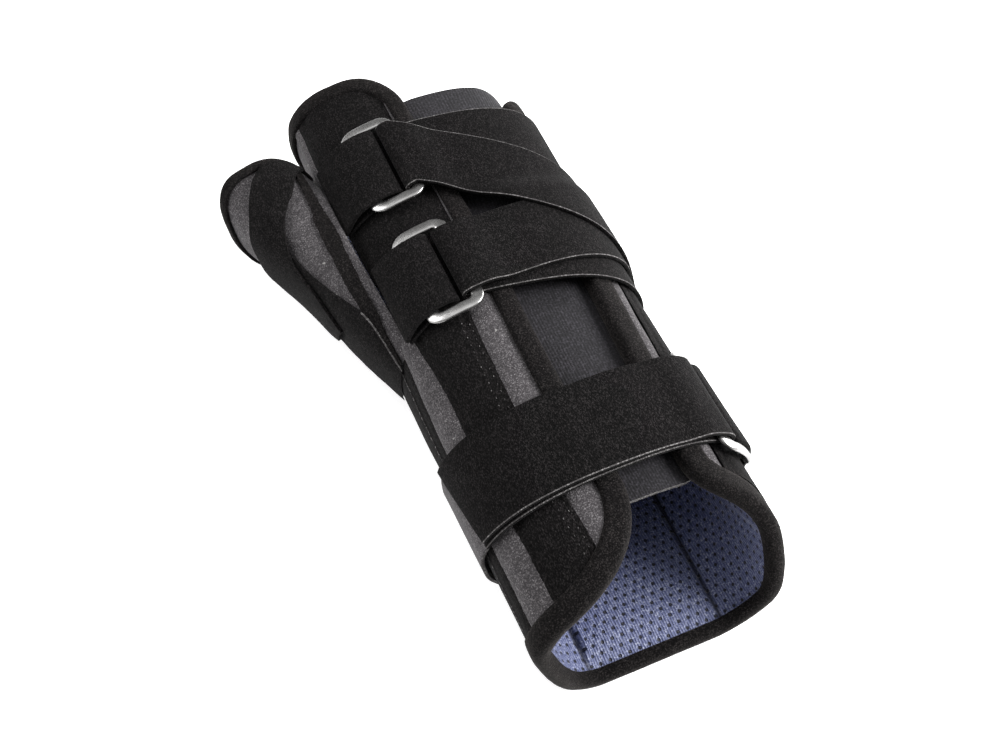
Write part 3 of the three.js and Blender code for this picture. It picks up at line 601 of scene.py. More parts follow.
def alongThumb(t):  # centripetal curve through the line's points
    points = [Vector(p) for p in thumbForm["line"]]
    last = len(points) - 1
    i = min(int(t * last), last - 1)
    w = t * last - i
    p1, p2 = points[i], points[i + 1]
    p0 = points[i - 1] if i > 0 else 2 * p1 - p2
    p3 = points[i + 2] if i + 2 <= last else 2 * p2 - p1
    d0, d1, d2 = (max((b - a).length_squared ** 0.25, 1e-4) for a, b in ((p0, p1), (p1, p2), (p2, p3)))
    t1 = ((p1 - p0) / d0 - (p2 - p0) / (d0 + d1) + (p2 - p1) / d1) * d1
    t2 = ((p2 - p1) / d1 - (p3 - p1) / (d1 + d2) + (p3 - p2) / d2) * d1
    return p1 + t1 * w + (-3 * p1 + 3 * p2 - 2 * t1 - t2) * w ** 2 + (2 * p1 - 2 * p2 + t1 + t2) * w ** 3


thumbSteps = 400
thumbPoints = [alongThumb(i / thumbSteps) for i in range(thumbSteps + 1)]
thumbLength = sum((b - a).length for a, b in zip(thumbPoints, thumbPoints[1:]))
thumbRadii = [smoothRow(thumbForm["radii"], i / thumbSteps)[0] for i in range(thumbSteps + 1)]


def onThumb(place, angle, d):  # angle 0 at the side of the hand, a quarter turn up
    start, cut, longest = thumbForm["slant"]
    t = place - cut * smoothStep(place, start, 1) * (1 - math.cos(angle - longest)) / 2
    inside = min(1, max(0, t))
    i = min(int(inside * thumbSteps), thumbSteps - 1)
    w = inside * thumbSteps - i
    along = (thumbPoints[min(i + 2, thumbSteps)] - thumbPoints[max(i - 1, 0)]).normalized()
    middle = thumbPoints[i].lerp(thumbPoints[i + 1], w) + along * (t - inside) * thumbLength
    side = Vector((along.y, -along.x, 0)).normalized()
    up = side.cross(along)
    radius = mix(thumbRadii[i], thumbRadii[i + 1], w) + d
    spot = middle + side * radius * squared(math.cos(angle), thumbForm["squareness"])
    spot += up * radius * squared(math.sin(angle), thumbForm["squareness"])
    return toFrame(*spot)


# cutters, deleted once used
armSpan = {"elbow": -129, "hand": 146}
panelSpace = {"elbow": -30, "hand": 118, "top": 20, "under": -8, "clear": 0.1}


def layCutter(name, columns, rows, place):
    cutter = layGrid(name, columns, rows, place, lambda s, t: (s, t))
    editMesh(cutter, closeSeam, fillEnds, faceOut)
    return cutter


def formCutter(name, depth):
    def place(s, t):
        y = mix(armSpan["elbow"], armSpan["hand"], t)
        return onForm(-s * openingAt(y)[0], y, depth)
    return layCutter(name, 120, 60, place)


def thumbCutter(name, first, last, depth):
    return layCutter(name, 64, 40, lambda s, t: onThumb(mix(first, last, t), 2 * math.pi * s, depth))


def panelCutter(name):  # room over the hand panel, which the sleeve and its tape stop at
    def place(s, t):
        y = mix(panelSpace["elbow"], panelSpace["hand"], t)
        top, under = panelSpace["top"], panelSpace["under"]
        inner, outer = handPanel["from"], widening(handPanel, y)
        side, w = int(s * 4) % 4, s * 4 - int(s * 4)
        corners = [(inner, top), (outer, top), (outer, under), (inner, under), (inner, top)]
        m, rise = (mix(a, b, w) for a, b in zip(corners[side], corners[side + 1]))
        spot = onCloth(m / flatCloth["around"], y, layers["tapeOut"] + panelSpace["clear"])
        return spot + Vector((0, 0, rise * mm))
    return layCutter(name, 48, 60, place)


thumbHole = thumbCutter("thumbHoleCutter", -0.02, thumbForm["holeEnd"], -1)
formSolid = formCutter("formCutter", layers["shellOut"] + 0.1)
tapeSolid = formCutter("tapeCutter", layers["tapeOut"] + 0.05)
panelRoom = panelCutter("panelCutter")
print("cutters made")

# shell
shellPad = {
    "columns": 190, "rows": 130, "thick": 2.2, "puff": 0.95,
    "strips": [(172.5, 193), (193, 199)],  # grey strips that stand up between the sewn bands
}


def shellDepth(share, y):
    m = share * flatCloth["around"]
    depth = layers["shellOut"] + 0.12 * bumpy(m, y, 14, 1)
    beside = (widening(backPocket, y) - 0.5, max(45.5, widening(handPanel, y) + 1))
    for low, high in shellPad["strips"] + [(6.5, innerEdge(backPocket, y) + 0.5), beside]:
        if low < m < high:
            s = (m - low) / (high - low)
            depth += shellPad["puff"] * (4 * s * (1 - s)) ** 0.8 * (1 + 0.3 * bumpy(m, y, 9, 2))
    return depth


def placeShell(s, t):
    share = spread(s)
    y = mix(elbowEnd(share), handEnd(share), t)
    return onCloth(share, y, shellDepth(share, y))


def flatOnCloth(s, t):
    share = spread(s)
    return share * flatCloth["around"] * mm, mix(elbowEnd(share), handEnd(share), t) * mm


shell = layGrid("paddedShell", shellPad["columns"], shellPad["rows"], placeShell, flatOnCloth)
wear(shell, greyLoop)
thicken(shell, shellPad["thick"], outwards(shell))
editMesh(shell, faceOut)
subtract(shell, thumbHole)
finishPiece(shell, "grey_loop_fabric", "shell")
print("shell", len(shell.data.polygons))

# lining
liningCloth = {
    "columns": 300, "rows": 130, "thick": 1.0, "flat": (0.215, 0.252),
    "channel": (-25.5, 23.6), "raise": 1.9, "crease": 1.0,  # the palm stands up between two creases
    "palm": (-62, -50),  # round the arm from the palm's middle, where the creases end
    "ridge": {"from": -87.5, "run": 28, "low": 25, "high": 37, "elbow": (-119, -113), "hand": (84, 90)},
}


def palmSpot(share, y):  # place across the palm, and 1 on the palm half
    g, girth = roundArm(share, y), openingAt(y)[0]
    return onForm(g, y, 0).x / mm - braceForm["shift"][0], smoothStep(-abs(g + girth / 2), *liningCloth["palm"])


def paintedCreaseShade(share, y):  # painted shade: dark lines in the lining's colour where it folds at the two sides of the palm
    x, palm = palmSpot(share, y)
    low, high = liningCloth["channel"]
    return 0.9 * palm * max(smoothStep(-abs(x - low), -1.0, -0.2), smoothStep(-abs(x - high), -1.0, -0.2))


def paintedRidgeHighlight(share, y):  # painted highlight: a pale line along a ridge that climbs the little-finger wall
    ridge = liningCloth["ridge"]
    if y >= 0 or share <= 0.55:
        return 0.0
    height = onCloth(share, y, 0).z / mm - braceForm["shift"][2]
    line = mix(ridge["low"], ridge["high"], (ridge["from"] - y) / ridge["run"])
    ends = smoothStep(y, *ridge["elbow"]) * smoothStep(-y, *ridge["hand"])
    return 0.55 * ends * smoothStep(-abs(height - line), -0.8, -0.1)


def liningDepth(share, y):
    m = share * flatCloth["around"]
    x, palm = palmSpot(share, y)
    low, high = liningCloth["channel"]
    inside = smoothStep(x, low, low + 1.8) * smoothStep(-x, -high, -high + 1.8)
    groove = max(smoothStep(-abs(x - low), -1.3, 0), smoothStep(-abs(x - high), -1.3, 0))
    depth = palm * (-liningCloth["raise"] * inside + liningCloth["crease"] * groove)
    edge = smoothStep(min(m, flatCloth["around"] - m, y - elbowEnd(share), handEnd(share) - y), 2, 14)
    return depth * edge + 0.25 * bumpy(m, y, 18, 3) * edge


def placeLining(s, t):
    y = mix(elbowEnd(s), handEnd(s), t)
    return onCloth(s, y, liningDepth(s, y) + 0.05)


def flatOnLining(s, t):
    return s * flatCloth["around"] * mm, mix(elbowEnd(s), handEnd(s), t) * mm


lining = layGrid("perforatedLining", liningCloth["columns"], liningCloth["rows"], placeLining, flatOnLining)
# painted shade in the creases and a painted highlight on the little-finger wall, kept as point attributes for the
# lining's colour
paintedLightMasks = [[0.0, 0.0] for _ in lining.data.vertices]
for corner, spot in zip(lining.data.loops, lining.data.uv_layers.active.data):
    share, y = spot.uv[0] / mm / flatCloth["around"], spot.uv[1] / mm
    paintedLightMasks[corner.vertex_index] = [paintedCreaseShade(share, y), paintedRidgeHighlight(share, y)]
for k, mask in enumerate(("paintedCreaseShade", "paintedRidgeHighlight")):
    lining.data.attributes.new(mask, "FLOAT", "POINT").data.foreach_set("value", [fold[k] for fold in paintedLightMasks])
wear(lining, meshCloth)
thicken(lining, liningCloth["thick"], -outwards(lining))
editMesh(lining, faceOut)
subtract(lining, thumbHole)
finishPiece(lining, "blue_mesh", "lining")

# folded binding along the whole edge
edgeTape = {"along": 96, "across": 150, "wide": 7, "under": 3.4, "inner": -1.3, "outside": 14}


def clothOutline():
    along = [i / edgeTape["along"] for i in range(edgeTape["along"])]
    across = [i / edgeTape["across"] for i in range(edgeTape["across"])]
    outline = [(0, mix(elbowEnd(0), handEnd(0), t)) for t in along]
    outline += [(spread(t), handEnd(spread(t))) for t in across]
    outline += [(1, mix(handEnd(1), elbowEnd(1), t)) for t in along]
    outline += [(spread(1 - t), elbowEnd(spread(1 - t))) for t in across]
    return outline


def tapeProfile():  # inset from the cloth's edge and depth, over the fold and back under
    top, low, wide, under = layers["bindingOut"], edgeTape["inner"], edgeTape["wide"], edgeTape["under"]
    path = [(wide - 0.1, 3.5), (wide, 4.2), (wide - 0.5, top - 0.15), (wide - 2, top), (wide - 4, top + 0.05)]
    middle, half = (top + low) / 2, (top - low) / 2
    for k in range(9):
        angle = math.pi * k / 8
        path.append((1.3 - 2.7 * math.sin(angle), middle + half * math.cos(angle)))
    path += [(under - 1.4, low), (under - 0.9, low), (under - 0.3, low + 0.15), (under, low + 0.6)]
    path += [(under - 0.1, 0.0), (1.2, 0.0), (0.0, 0.0), (-0.15, 1.7), (0.0, 3.5), (wide - 3, 3.5)]
    return path


outline, profile = clothOutline(), tapeProfile()


def placeTape(i, k):
    share, y = outline[i]
    before, after = outline[i - 1], outline[(i + 1) % len(outline)]
    dp, dy = (after[0] - before[0]) * flatCloth["around"], after[1] - before[1]
    size = math.hypot(dp, dy)
    inset, d = profile[k]
    if k < edgeTape["outside"]:
        d += 0.16 * bumpy(i * 2.4, k, 6, 5)
    return onCloth(share + inset * dy / size / flatCloth["around"], y - inset * dp / size, d)


def placeOnGrid(s, t):
    return placeTape(round(s * len(outline)) % len(outline), round(t * len(profile)) % len(profile))


binding = layGrid("foldedEdgeTape", len(outline), len(profile), placeOnGrid, lambda s, t: (s * 0.87, t * 0.034))
wear(binding, blackTape)
editMesh(binding, closeSeam, faceOut)
finishPiece(binding, "black_tape", "edge_binding", angle=60)
print("binding", len(binding.data.polygons))

# tongue
tonguePanel = {
    "tuck": 12, "gap": 28.6, "elbow": -92.5, "hand": 107.5, "corner": 16, "depth": -2.0, "thick": 1.6,
    "columns": 44, "rows": 120, "flat": (0.062, 0.2),
}
tongueWide = tonguePanel["gap"] + 2 * tonguePanel["tuck"]


def placeTongue(s, t):
    cut = cornerCut(min(s, 1 - s) * tongueWide, tonguePanel["corner"])
    y = mix(tonguePanel["elbow"] + cut, tonguePanel["hand"] - cut, t)
    _, thumbEdge, littleEdge = openingAt(y)
    g = mix(thumbEdge - tonguePanel["tuck"], littleEdge + tonguePanel["tuck"], s)
    return onForm(g, y, tonguePanel["depth"] + 0.25 * bumpy(g, y, 22, 6))


def flatTongue(s, t):
    return s * tongueWide * mm, mix(tonguePanel["elbow"], tonguePanel["hand"], t) * mm


tongue = layGrid("softTongue", tonguePanel["columns"], tonguePanel["rows"], placeTongue, flatTongue)
wear(tongue, tongueCloth, cutEdge)
thicken(tongue, tonguePanel["thick"], 0.0, 1)
editMesh(tongue, faceOut)
finishPiece(tongue, "smooth_charcoal", "tongue")

# sewn bands with a stay inside
stayBands = {
    "stay_pocket": {"name": "backStayPocket", **backPocket, "dome": 0.9},
    "thumb_stay_pocket": {
        "name": "thumbStayPocket", "from": 45, "to": 72, "dome": 0.7, "hand": 10, "long": 145,
    },
    "little_stay_pocket": {"name": "littleStayPocket", "from": 173, "to": 193.5, "dome": 0.8},
}
bandSewing = {
    "inset": 6.6, "low": 3.75, "thick": 0.9, "dip": 0.35, "frayed": 0.3, "hem": 2, "long": 245,
    "columns": 26, "rows": 240,
}


def insideEnd(end, share, inset):
    step = 1 / flatCloth["around"]
    slope = (end(share + step) - end(share - step)) / 2
    return end(share) + inset * math.hypot(1, slope)


def bandDepth(band, s, share, y):
    dome = band["dome"] * (1 - abs(2 * s - 1) ** 3)
    dip = bandSewing["dip"] * max(smoothStep(-abs(s - 0.12), -0.06, 0), smoothStep(-abs(s - 0.88), -0.06, 0))
    return bandSewing["low"] + dome - dip + 0.12 * bumpy(share * flatCloth["around"], y, 8, 8)


def layBand(band):
    inset = bandSewing["inset"]

    def spot(s, t):
        share = mix(band["from"], band["to"], s) / flatCloth["around"]
        if "handTo" in band:
            level = mix(insideEnd(elbowEnd, share, inset), insideEnd(handEnd, share, -inset), t)
            share = mix(innerEdge(band, level), widening(band, level), s) / flatCloth["around"]
        low = insideEnd(elbowEnd, share, inset)
        high = band.get("hand") or insideEnd(handEnd, share, -inset)
        y = mix(low, high, t)
        frayed = bandSewing["frayed"] * bumpy(y, s * 30, 1.7, 9) * smoothStep(abs(2 * s - 1), 0.75, 1)
        return share + frayed / flatCloth["around"], y

    def place(s, t):
        share, y = spot(s, t)
        return onCloth(share, y, bandDepth(band, s, share, y))

    def flat(s, t):
        share, y = spot(s, t)
        return share * flatCloth["around"] * mm, y * mm
    piece = layGrid(band["name"], bandSewing["columns"], bandSewing["rows"], place, flat)
    area = faceArea(piece)
    wear(piece, blackLoop)
    thicken(piece, bandSewing["thick"], outwards(piece))
    editMesh(piece, faceOut)
    wide = band.get("handTo", band["to"]) - band.get("handFrom", band["from"]) + bandSewing["hem"]
    return piece, area, wide * mm, band.get("long", bandSewing["long"]) * mm


for node, band in stayBands.items():
    piece, area, wide, long = layBand(band)
    if node == "thumb_stay_pocket":
        outside = thumbCutter("sleeveCutter", -0.02, 1, thumbForm["sleeve"] - 0.6)
        subtract(piece, outside)
        bpy.data.objects.remove(outside)
    finishPiece(piece, "black_loop_fabric", node)
    min(area, wide * long)
print("stay bands sewn")

# rings
ringBar = {
    "length": 44, "across": 19, "bar": 4.2, "thick": 1.8, "corner": 3.4, "turn": 9, "stations": 112, "corners": 16,
}
ringPlaces = {  # name, place round the arm and along it
    "hand_ring": ("handRing", -22.2, 71.8),
    "wrist_ring": ("wristRing", -22.2, 14.5),
    "elbow_ring": ("elbowRing", 40.8, -67),
}


def ringPath():  # a rounded rectangle, as points with their outward direction
    r, turn = ringBar["corner"], ringBar["turn"]
    half, tall = (ringBar["across"] - ringBar["bar"]) / 2, (ringBar["length"] - ringBar["bar"]) / 2
    straight = ringBar["stations"] // 4 - turn
    centres = [(half - r, tall - r), (-half + r, tall - r), (-half + r, -tall + r), (half - r, -tall + r)]
    arrivals = [(-half + r, tall), (-half, -tall + r), (half - r, -tall), (half, tall - r)]
    points = []
    for quarter, ((cx, cy), (toX, toY)) in enumerate(zip(centres, arrivals)):
        for k in range(turn + 1):
            angle = math.pi / 2 * (quarter + k / turn)
            ox, oy = math.cos(angle), math.sin(angle)
            points.append((cx + r * ox, cy + r * oy, ox, oy))
        x, y, ox, oy = points[-1]
        for k in range(1, straight):
            points.append((mix(x, toX, k / straight), mix(y, toY, k / straight), ox, oy))
    return points


ringPoints = ringPath()


def layMetalRing(node, name, g, y):
    def place(i, k):
        px, py, ox, oy = ringPoints[i]
        angle = 2 * math.pi * k / ringBar["corners"]
        out = ringBar["bar"] / 2 * squared(math.cos(angle), 3.6)
        up = ringBar["thick"] / 2 * squared(math.sin(angle), 3.0)
        return onForm(g + px + ox * out, y + py + oy * out, layers["ringMid"] + up)
    piece = layRing(name, len(ringPoints), ringBar["corners"], place, (0.12, 0.012))
    wear(piece, ringMetal)
    editMesh(piece, faceOut)
    finishPiece(piece, "ring_metal", node, angle=60)


for node, (name, g, y) in ringPlaces.items():
    layMetalRing(node, name, g, y)
print("rings", len(ringPoints))

# straps and tabs, each folded round a bar of its ring
ends = {
    # sewn end and free end: place round the arm, along it, width, slant; drop: how far these ends come down
    "hand_tab": {
        "name": "handTab", "ring": "hand_ring", "side": -1, "wide": 34, "reach": 8.6, "lift": 0,
        "sewn": (-43, 71.8, 34, 0), "free": (-43, 71.8, 34, 0), "drop": (1.0, 1.3),
    },
    "wrist_tab": {
        "name": "wristTab", "ring": "wrist_ring", "side": -1, "wide": 33, "reach": 8.6, "lift": 0,
        "sewn": (-40, 13.5, 36, 0), "free": (-40, 13.5, 36, 0), "drop": (1.0, 1.3),
    },
    "elbow_tab": {
        "name": "elbowTab", "ring": "elbow_ring", "side": 1, "wide": 34, "reach": 8.6, "lift": 0,
        "sewn": (74, -67, 34, 0), "free": (74, -67, 34, 0), "drop": (2.1, 2.5),
    },
    "hand_strap": {
        "name": "handStrap", "ring": "hand_ring", "side": 1, "wide": 34.4, "reach": 3.85, "lift": 1.6,
        "sewn": (66, 63.8, 34, 0), "free": (58, 15.1, 38, 0), "drop": (2.1, 0),
    },
    "wrist_strap": {
        "name": "wristStrap", "ring": "wrist_ring", "side": 1, "wide": 31.5, "reach": 3.85, "lift": 0,
        "sewn": (69, -1.2, 32, 0), "free": (69, 17, 32, 0), "drop": (2.1, 2.3),
    },
    "elbow_strap": {
        "name": "elbowStrap", "ring": "elbow_ring", "side": -1, "wide": 33.5, "reach": 3.85, "lift": 0,
        "sewn": (-76, -68.3, 34.6, 0), "free": (-47.5, -67, 33.5, -5), "drop": (1.5, 0.3),
    },
}
strapLay = {
    "step": 1.6, "turnSteps": 16, "bar": 7.4, "fold": 3.85, "settle": 14, "across": 20, "selvedge": 0.5,
    "liftEdge": (-46, -36),  # the hand strap lifts only where it crosses the wrist strap
}


def foldedPath(end):  # rows of place round the arm, along it, width, slant, depth and lift
    _, ringG, ringY = ringPlaces[end["ring"]]
    turn = (ringG + end["side"] * strapLay["bar"], ringY, end["wide"], 0)
    sewn, free, settle = end["sewn"], end["free"], strapLay["settle"]
    side = math.copysign(1, turn[0] - sewn[0])
    rise = layers["turnRise"]

    def drop(row, tip, depth):  # comes down to the cloth near its tip
        return depth * smoothStep(settle - abs(row[0] - tip[0]), 0, settle)
    rows = []
    count = math.ceil(abs(turn[0] - sewn[0]) / strapLay["step"])
    for i in range(count + 1):
        row = [mix(a, b, i / count) for a, b in zip(sewn, turn)]
        rows.append(row + [layers["strapLow"] - drop(row, sewn, end["drop"][0]), 0])
    for i in range(1, strapLay["turnSteps"]):
        angle = math.pi * i / strapLay["turnSteps"]
        round0 = turn[0] + side * end["reach"] * math.sin(angle)
        rows.append([round0, *turn[1:], layers["ringMid"] - rise * math.cos(angle), 0])
    count = math.ceil(1.3 * abs(turn[0] - free[0]) / strapLay["step"])
    for i in range(count + 1):
        row = [mix(a, b, i / count) for a, b in zip(turn, free)]
        away = abs(row[0] - turn[0])
        down = smoothStep(away, strapLay["fold"], settle)
        up = end["lift"] * smoothStep(away, settle, 2 * settle)
        depth = mix(layers["ringMid"] + rise, layers["strapHigh"], down)
        rows.append(row + [depth - drop(row, free, end["drop"][1]), up])
    return rows


def layStrap(node, end, seed):
    rows = foldedPath(end)
    count = len(rows) - 1
    lengths = [0]
    for a, b in zip(rows, rows[1:]):
        lengths.append(lengths[-1] + (onForm(b[0], b[1], b[4]) - onForm(a[0], a[1], a[4])).length / mm)

    def across(t):  # the two outer rows are only as wide as the selvedge
        row, inner = round(t * strapLay["across"]), strapLay["across"] - 2
        narrow = strapLay["selvedge"] / end["wide"]
        return 0 if row == 0 else 1 if row == inner + 2 else mix(narrow, 1 - narrow, (row - 1) / inner)

    def place(s, t):
        t = across(t)
        g, y, wide, slant, d, up = rows[round(s * count)]
        y += (t - 0.5) * wide
        soft = 0.14 * bumpy(lengths[round(s * count)], t * wide, 11, seed)
        return onForm(g + (t - 0.5) * slant, y, d + soft + up * smoothStep(-y, *strapLay["liftEdge"]))

    def flat(s, t):
        return lengths[round(s * count)] * mm, across(t) * end["wide"] * mm
    piece = layGrid(end["name"], count, strapLay["across"], place, flat)
    area = faceArea(piece)
    edge = blackLoop if node.endswith("tab") else cutEdge  # tabs are turned under, straps are cut
    wear(piece, blackLoop, edge, greyLoop)
    for face in piece.data.polygons:  # pale near edge on all straps, far edge too on the hand strap
        row, column = divmod(face.index, count)
        face.material_index = int(row == 0 or row == strapLay["across"] - 1 and node == "hand_strap")
        if node == "elbow_strap" and rows[column][0] < end["free"][0] + 1:  # grey backing past the free end
            face.material_index = 2
    thicken(piece, layers["webbing"], 0.0, -1)
    editMesh(piece, faceOut)
    roundEdges(piece, 0.3)
    finishPiece(piece, "black_loop_fabric", node)
    wide = max(end["wide"], end["sewn"][2], end["free"][2]) * mm
    long = lengths[-1] * mm
    return area / (wide * long)


for seed, (node, end) in enumerate(ends.items()):
    print("strap", end["name"], "area share", round(layStrap(node, end, 20 + seed), 3))

# thumb sleeve
sleevePad = {"around": 110, "along": 110, "start": -0.02, "girth": 0.11}


def sleeveDepth(place, angle):
    fold = 0.35 * bumpy(place * 100, angle * 16, 10, 31) + 0.2 * bumpy(place * 100, angle * 16, 4, 32)
    return thumbForm["sleeve"] + fold * smoothStep(1.0 - place, 0.0, 0.12)


def placeSleeve(s, t):
    place, angle = mix(sleevePad["start"], 1, t), -2 * math.pi * s
    return onThumb(place, angle, sleeveDepth(place, angle))


sleeve = layGrid("thumbSleeve", sleevePad["around"], sleevePad["along"], placeSleeve,
                 lambda s, t: (s * sleevePad["girth"], t * thumbLength * mm))
wear(sleeve, greyLoop)
editMesh(sleeve, closeSeam)
thicken(sleeve, thumbForm["sleeve"], -1.0)
editMesh(sleeve, faceOut)
subtract(sleeve, formSolid)
subtract(sleeve, panelRoom)
finishPiece(sleeve, "grey_loop_fabric", "thumb_sleeve")
print("sleeve", len(sleeve.data.polygons))

# strap wound round the thumb, the tail under it and the tape over the seam
thumbWinding = {
    # step, wrist edge place and turn, tip edge place and turn
    "rows": [
        (0.8, 0.9, 48, 0.946, 58), (1, 0.89, 52, 0.95, 64), (2, 0.855, 66, 0.96, 82), (3, 0.8, 80, 0.925, 95),
        (4, 0.735, 95, 0.87, 113), (5, 0.68, 114, 0.815, 138), (6, 0.625, 131, 0.79, 168), (7, 0.575, 147, 0.735, 186),
        (8, 0.52, 154, 0.65, 192), (9, 0.455, 159, 0.55, 194), (10, 0.405, 164, 0.46, 195), (11, 0.36, 169, 0.395, 193),
        (12, 0.325, 172, 0.345, 186),
    ],
    "low": 1.55, "thick": 1.3, "columns": 160, "across": 18, "flat": (0.024, 0.085),
}
thumbTail = {
    "rows": [
        (0, 0.6, 141, 0.62, 186), (1, 0.515, 146, 0.52, 188), (2, 0.425, 143, 0.43, 190), (3, 0.345, 136, 0.35, 190),
        (4, 0.275, 131, 0.28, 190), (5, 0.215, 136, 0.22, 190), (6, 0.15, 148, 0.16, 190), (7, 0.06, 166, 0.08, 192),
    ],
    "low": 0.3, "thick": 1.1, "columns": 120, "across": 30, "flat": (0.026, 0.095),
}
seamTape = {
    "rows": [
        (0, 0.09, 158, 0.07, 178), (1, 0.15, 143, 0.13, 162), (2, 0.205, 131, 0.18, 145), (3, 0.255, 119, 0.27, 133),
        (4, 0.355, 106, 0.38, 121), (5, 0.47, 93, 0.48, 108), (6, 0.56, 86, 0.58, 96), (7, 0.65, 78, 0.68, 86),
        (8, 0.74, 68, 0.755, 77), (9, 0.9, 49, 0.9, 59),
    ],
    "low": 0.15, "thick": 0.8, "columns": 160, "across": 8, "flat": (0.01, 0.1), "frayed": 0.9,
}
tapeSides = 2.2  # both sides of a thin tape and its edges, as a share of one side


def layOnSleeve(name, band, seed, *finishes):
    first, last = band["rows"][0][0], band["rows"][-1][0]

    def place(s, t):
        place0, turn0, place1, turn1 = smoothRow(band["rows"], mix(first, last, s))
        frayed = band.get("frayed", 0) * bumpy(s * 110, t * 9, 1.6, seed + 5)
        frayed *= smoothStep(abs(2 * t - 1), 0.6, 1)
        along, turn = mix(place0, place1, t), math.radians(mix(turn0, turn1, t) + frayed)
        depth = thumbForm["sleeve"] + band["low"] + band["thick"] / 2
        return onThumb(along, turn, depth + 0.12 * bumpy(s * 120, t * 20, 9, seed))
    wide, long = band["flat"]
    piece = layGrid(name, band["columns"], band["across"], place, lambda s, t: (s * long, t * wide))
    wear(piece, *finishes)
    if len(finishes) > 1:
        for face in piece.data.polygons:
            row, column = divmod(face.index, band["columns"])
            face.material_index = int(row == 0 and column > band["columns"] * 0.54)  # pale edge past the winding
    thicken(piece, band["thick"], 0.0)
    editMesh(piece, faceOut)
    subtract(piece, tapeSolid)
    subtract(piece, panelRoom)
    area = faceArea(piece) / tapeSides
    print(name, "share of its flat size", round(area / (wide * long), 3))
    return piece, min(area, wide * long)


winding, windingArea = layOnSleeve("thumbWinding", thumbWinding, 41, blackLoop)
roundEdges(winding, 0.3)
finishPiece(winding, "black_loop_fabric", "thumb_strap")
tail, tailArea = layOnSleeve("thumbTail", thumbTail, 43, blackLoop, cutEdge)
finishPiece(tail, "black_loop_fabric")
tape, tapeArea = layOnSleeve("thumbSeamTape", seamTape, 42, blackTape)
finishPiece(tape, "black_tape", "thumb_seam_tape")


# rim of the thumb sleeve
def rimProfile():
    back, top, low = -thumbForm["rim"], thumbForm["sleeve"] + 1.3, -1.3
    path = [(back, thumbForm["sleeve"] + 0.1), (back - 0.05, top - 0.35), (back + 0.5, top)]
    middle, half = (top + low) / 2, (top - low) / 2
    for k in range(9):
        angle = math.pi * k / 8
        path.append((-0.9 + 2.3 * math.sin(angle), middle + half * math.cos(angle)))
    path += [(back + 0.5, low), (back - 0.05, low + 0.35), (back, -0.05), (-0.2, -0.05), (0.15, 1.2)]
    path.append((-0.2, thumbForm["sleeve"] + 0.1))
    return path


rimPath, rimStations = rimProfile(), 120


def placeRim(i, k):
    past, d = rimPath[k]
    angle = 2 * math.pi * i / rimStations
    if k < 14:
        d += 0.15 * bumpy(i, k, 5, 51)
    return onThumb(1 + past / thumbLength, angle, d)


rim = layRing("thumbRimTape", rimStations, len(rimPath), placeRim, (0.1, 0.018))
wear(rim, blackTape)
editMesh(rim, faceOut)
subtract(rim, tapeSolid)
finishPiece(rim, "black_tape", "thumb_binding", angle=60)
print("thumb rim", len(rim.data.polygons))

for cutter in (thumbHole, formSolid, tapeSolid, panelRoom):
    bpy.data.objects.remove(cutter)

# rows of stitches beside the back pocket's edge, each one short thread that dips in and out
pocketStitches = {
    "columns": [(18.2, 0.0), (20.6, 1.6)], "from": -106, "to": -4,
    "pitch": 3.3, "long": 0.75, "wide": 0.34, "loose": 0.4,
}
sideSeam = {
    "columns": [(49.5, 0.0)], "from": -111, "to": 8,
    "pitch": 2.1, "long": 1.9, "wide": 0.42, "loose": 0.15,
}


def laySeam(name, seam, depth):
    threads = []
    for column, offset in seam["columns"]:
        for k in range(int((seam["to"] - seam["from"]) / seam["pitch"])):
            y = seam["from"] + offset + k * seam["pitch"] + seam["loose"] * bumpy(column, k, 1.7, 61)
            m = column + seam["loose"] * bumpy(k, column, 1.3, 62)
            threads.append((m, y))
    bpy.ops.object.select_all(action="DESELECT")
    made = []
    for m, y in threads:
        bpy.ops.mesh.primitive_uv_sphere_add(segments=6, ring_count=5, radius=1)
        thread = bpy.context.object
        for v in thread.data.vertices:
            across, up, along = v.co.x * seam["wide"] / 2, v.co.y * 0.16, v.co.z * seam["long"] / 2
            v.co = onCloth((m + across) / flatCloth["around"], y + along, depth(m, y) + up - 0.12 * v.co.z ** 2)
        made.append(thread)
    for thread in made:
        thread.select_set(True)
    bpy.context.view_layer.objects.active = made[0]
    bpy.ops.object.join()
    piece = bpy.context.object
    piece.name = piece.data.name = name
    piece.location = (0, 0, 0)
    editMesh(piece, faceOut)
    wear(piece, paleThread)
    finishPiece(piece, "grey_loop_fabric")
    print(name, len(threads), "stitches")


def pocketDepth(m, y):
    s = (m - backPocket["from"]) / (widening(backPocket, y) - backPocket["from"])
    return bandDepth(stayBands["stay_pocket"], s, m / flatCloth["around"], y) + 0.08


def sideDepth(m, y):
    band = stayBands["thumb_stay_pocket"]
    return bandDepth(band, (m - band["from"]) / (band["to"] - band["from"]), m / flatCloth["around"], y) + 0.08


laySeam("pocketStitches", pocketStitches, pocketDepth)
laySeam("sideSeamStitches", sideSeam, sideDepth)

# floor, light and camera
stageSet = {
    "floor": 24.0, "aim": toFrame(-11.5, -12.15, 20), "eye": toFrame(-110.14, -245.88, 418.38), "lens": 46.25,
}

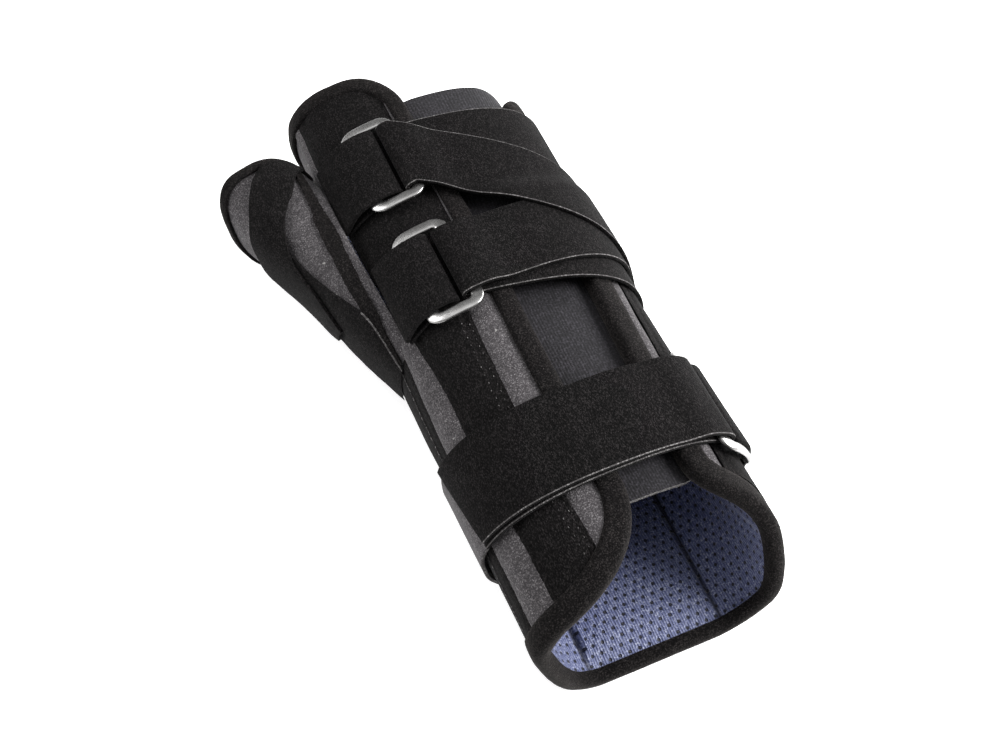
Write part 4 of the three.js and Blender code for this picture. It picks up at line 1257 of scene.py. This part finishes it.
bpy.ops.object.select_all(action="DESELECT")
bpy.ops.mesh.primitive_plane_add(size=stageSet["floor"], location=(0, 0, 0))
floor = bpy.context.object
floor.name = "paleFloor"
floorFinish, floorTree, floorShader, floorPlace = startFinish("palePaper", 0.9, 0, 0.4, 0.2)
floorTint = noiseOn(floorTree, floorPlace.outputs["Object"], 3, 2)
floorColour = mixColour(floorTree, floorTint, (0.9, 0.9, 0.9), (0.93, 0.93, 0.93))
floorTree.links.new(floorColour, floorShader.inputs["Base Color"])
floorShader.inputs["Emission Color"].default_value = (1, 1, 1, 1)  # a lit table, so the shadow stays faint
floorShader.inputs["Emission Strength"].default_value = 0.45
floor.data.materials.append(floorFinish)


def addSoftbox(name, place, aim, size, power):
    bpy.ops.object.light_add(type="AREA", location=place)
    light = bpy.context.object
    light.name = name
    light.data.shape = "RECTANGLE"
    light.data.size, light.data.size_y = size
    light.data.energy = power
    light.rotation_euler = (Vector(aim) - Vector(place)).to_track_quat("-Z", "Y").to_euler()
    return light


addSoftbox("keySoftbox", (0.9, -0.4, 0.75), (0, 0, 0), (0.6, 0.6), 30)
addSoftbox("topSoftbox", (-0.1, 0.05, 1.3), (0, 0, 0), (1.2, 1.2), 5)
addSoftbox("leftFill", (-0.85, 0.5, 0.65), (0, 0, 0.02), (0.8, 0.7), 11)
addSoftbox("rightRim", (1.0, 0.25, 0.3), (0.02, 0, 0.03), (0.25, 0.6), 10)
world = bpy.data.worlds.new("studioAir")
bpy.context.scene.world = world
world.use_nodes = True
world.node_tree.nodes["Background"].inputs["Color"].default_value = (1, 1, 1, 1)
world.node_tree.nodes["Background"].inputs["Strength"].default_value = 0.3

bpy.ops.object.camera_add(location=stageSet["eye"])
camera = bpy.context.object
camera.name = "photoCamera"
camera.data.lens = stageSet["lens"]
camera.rotation_euler = (stageSet["aim"] - stageSet["eye"]).to_track_quat("-Z", "Y").to_euler()
bpy.context.scene.camera = camera
bpy.context.scene.view_settings.view_transform = "Standard"
print("stage set")
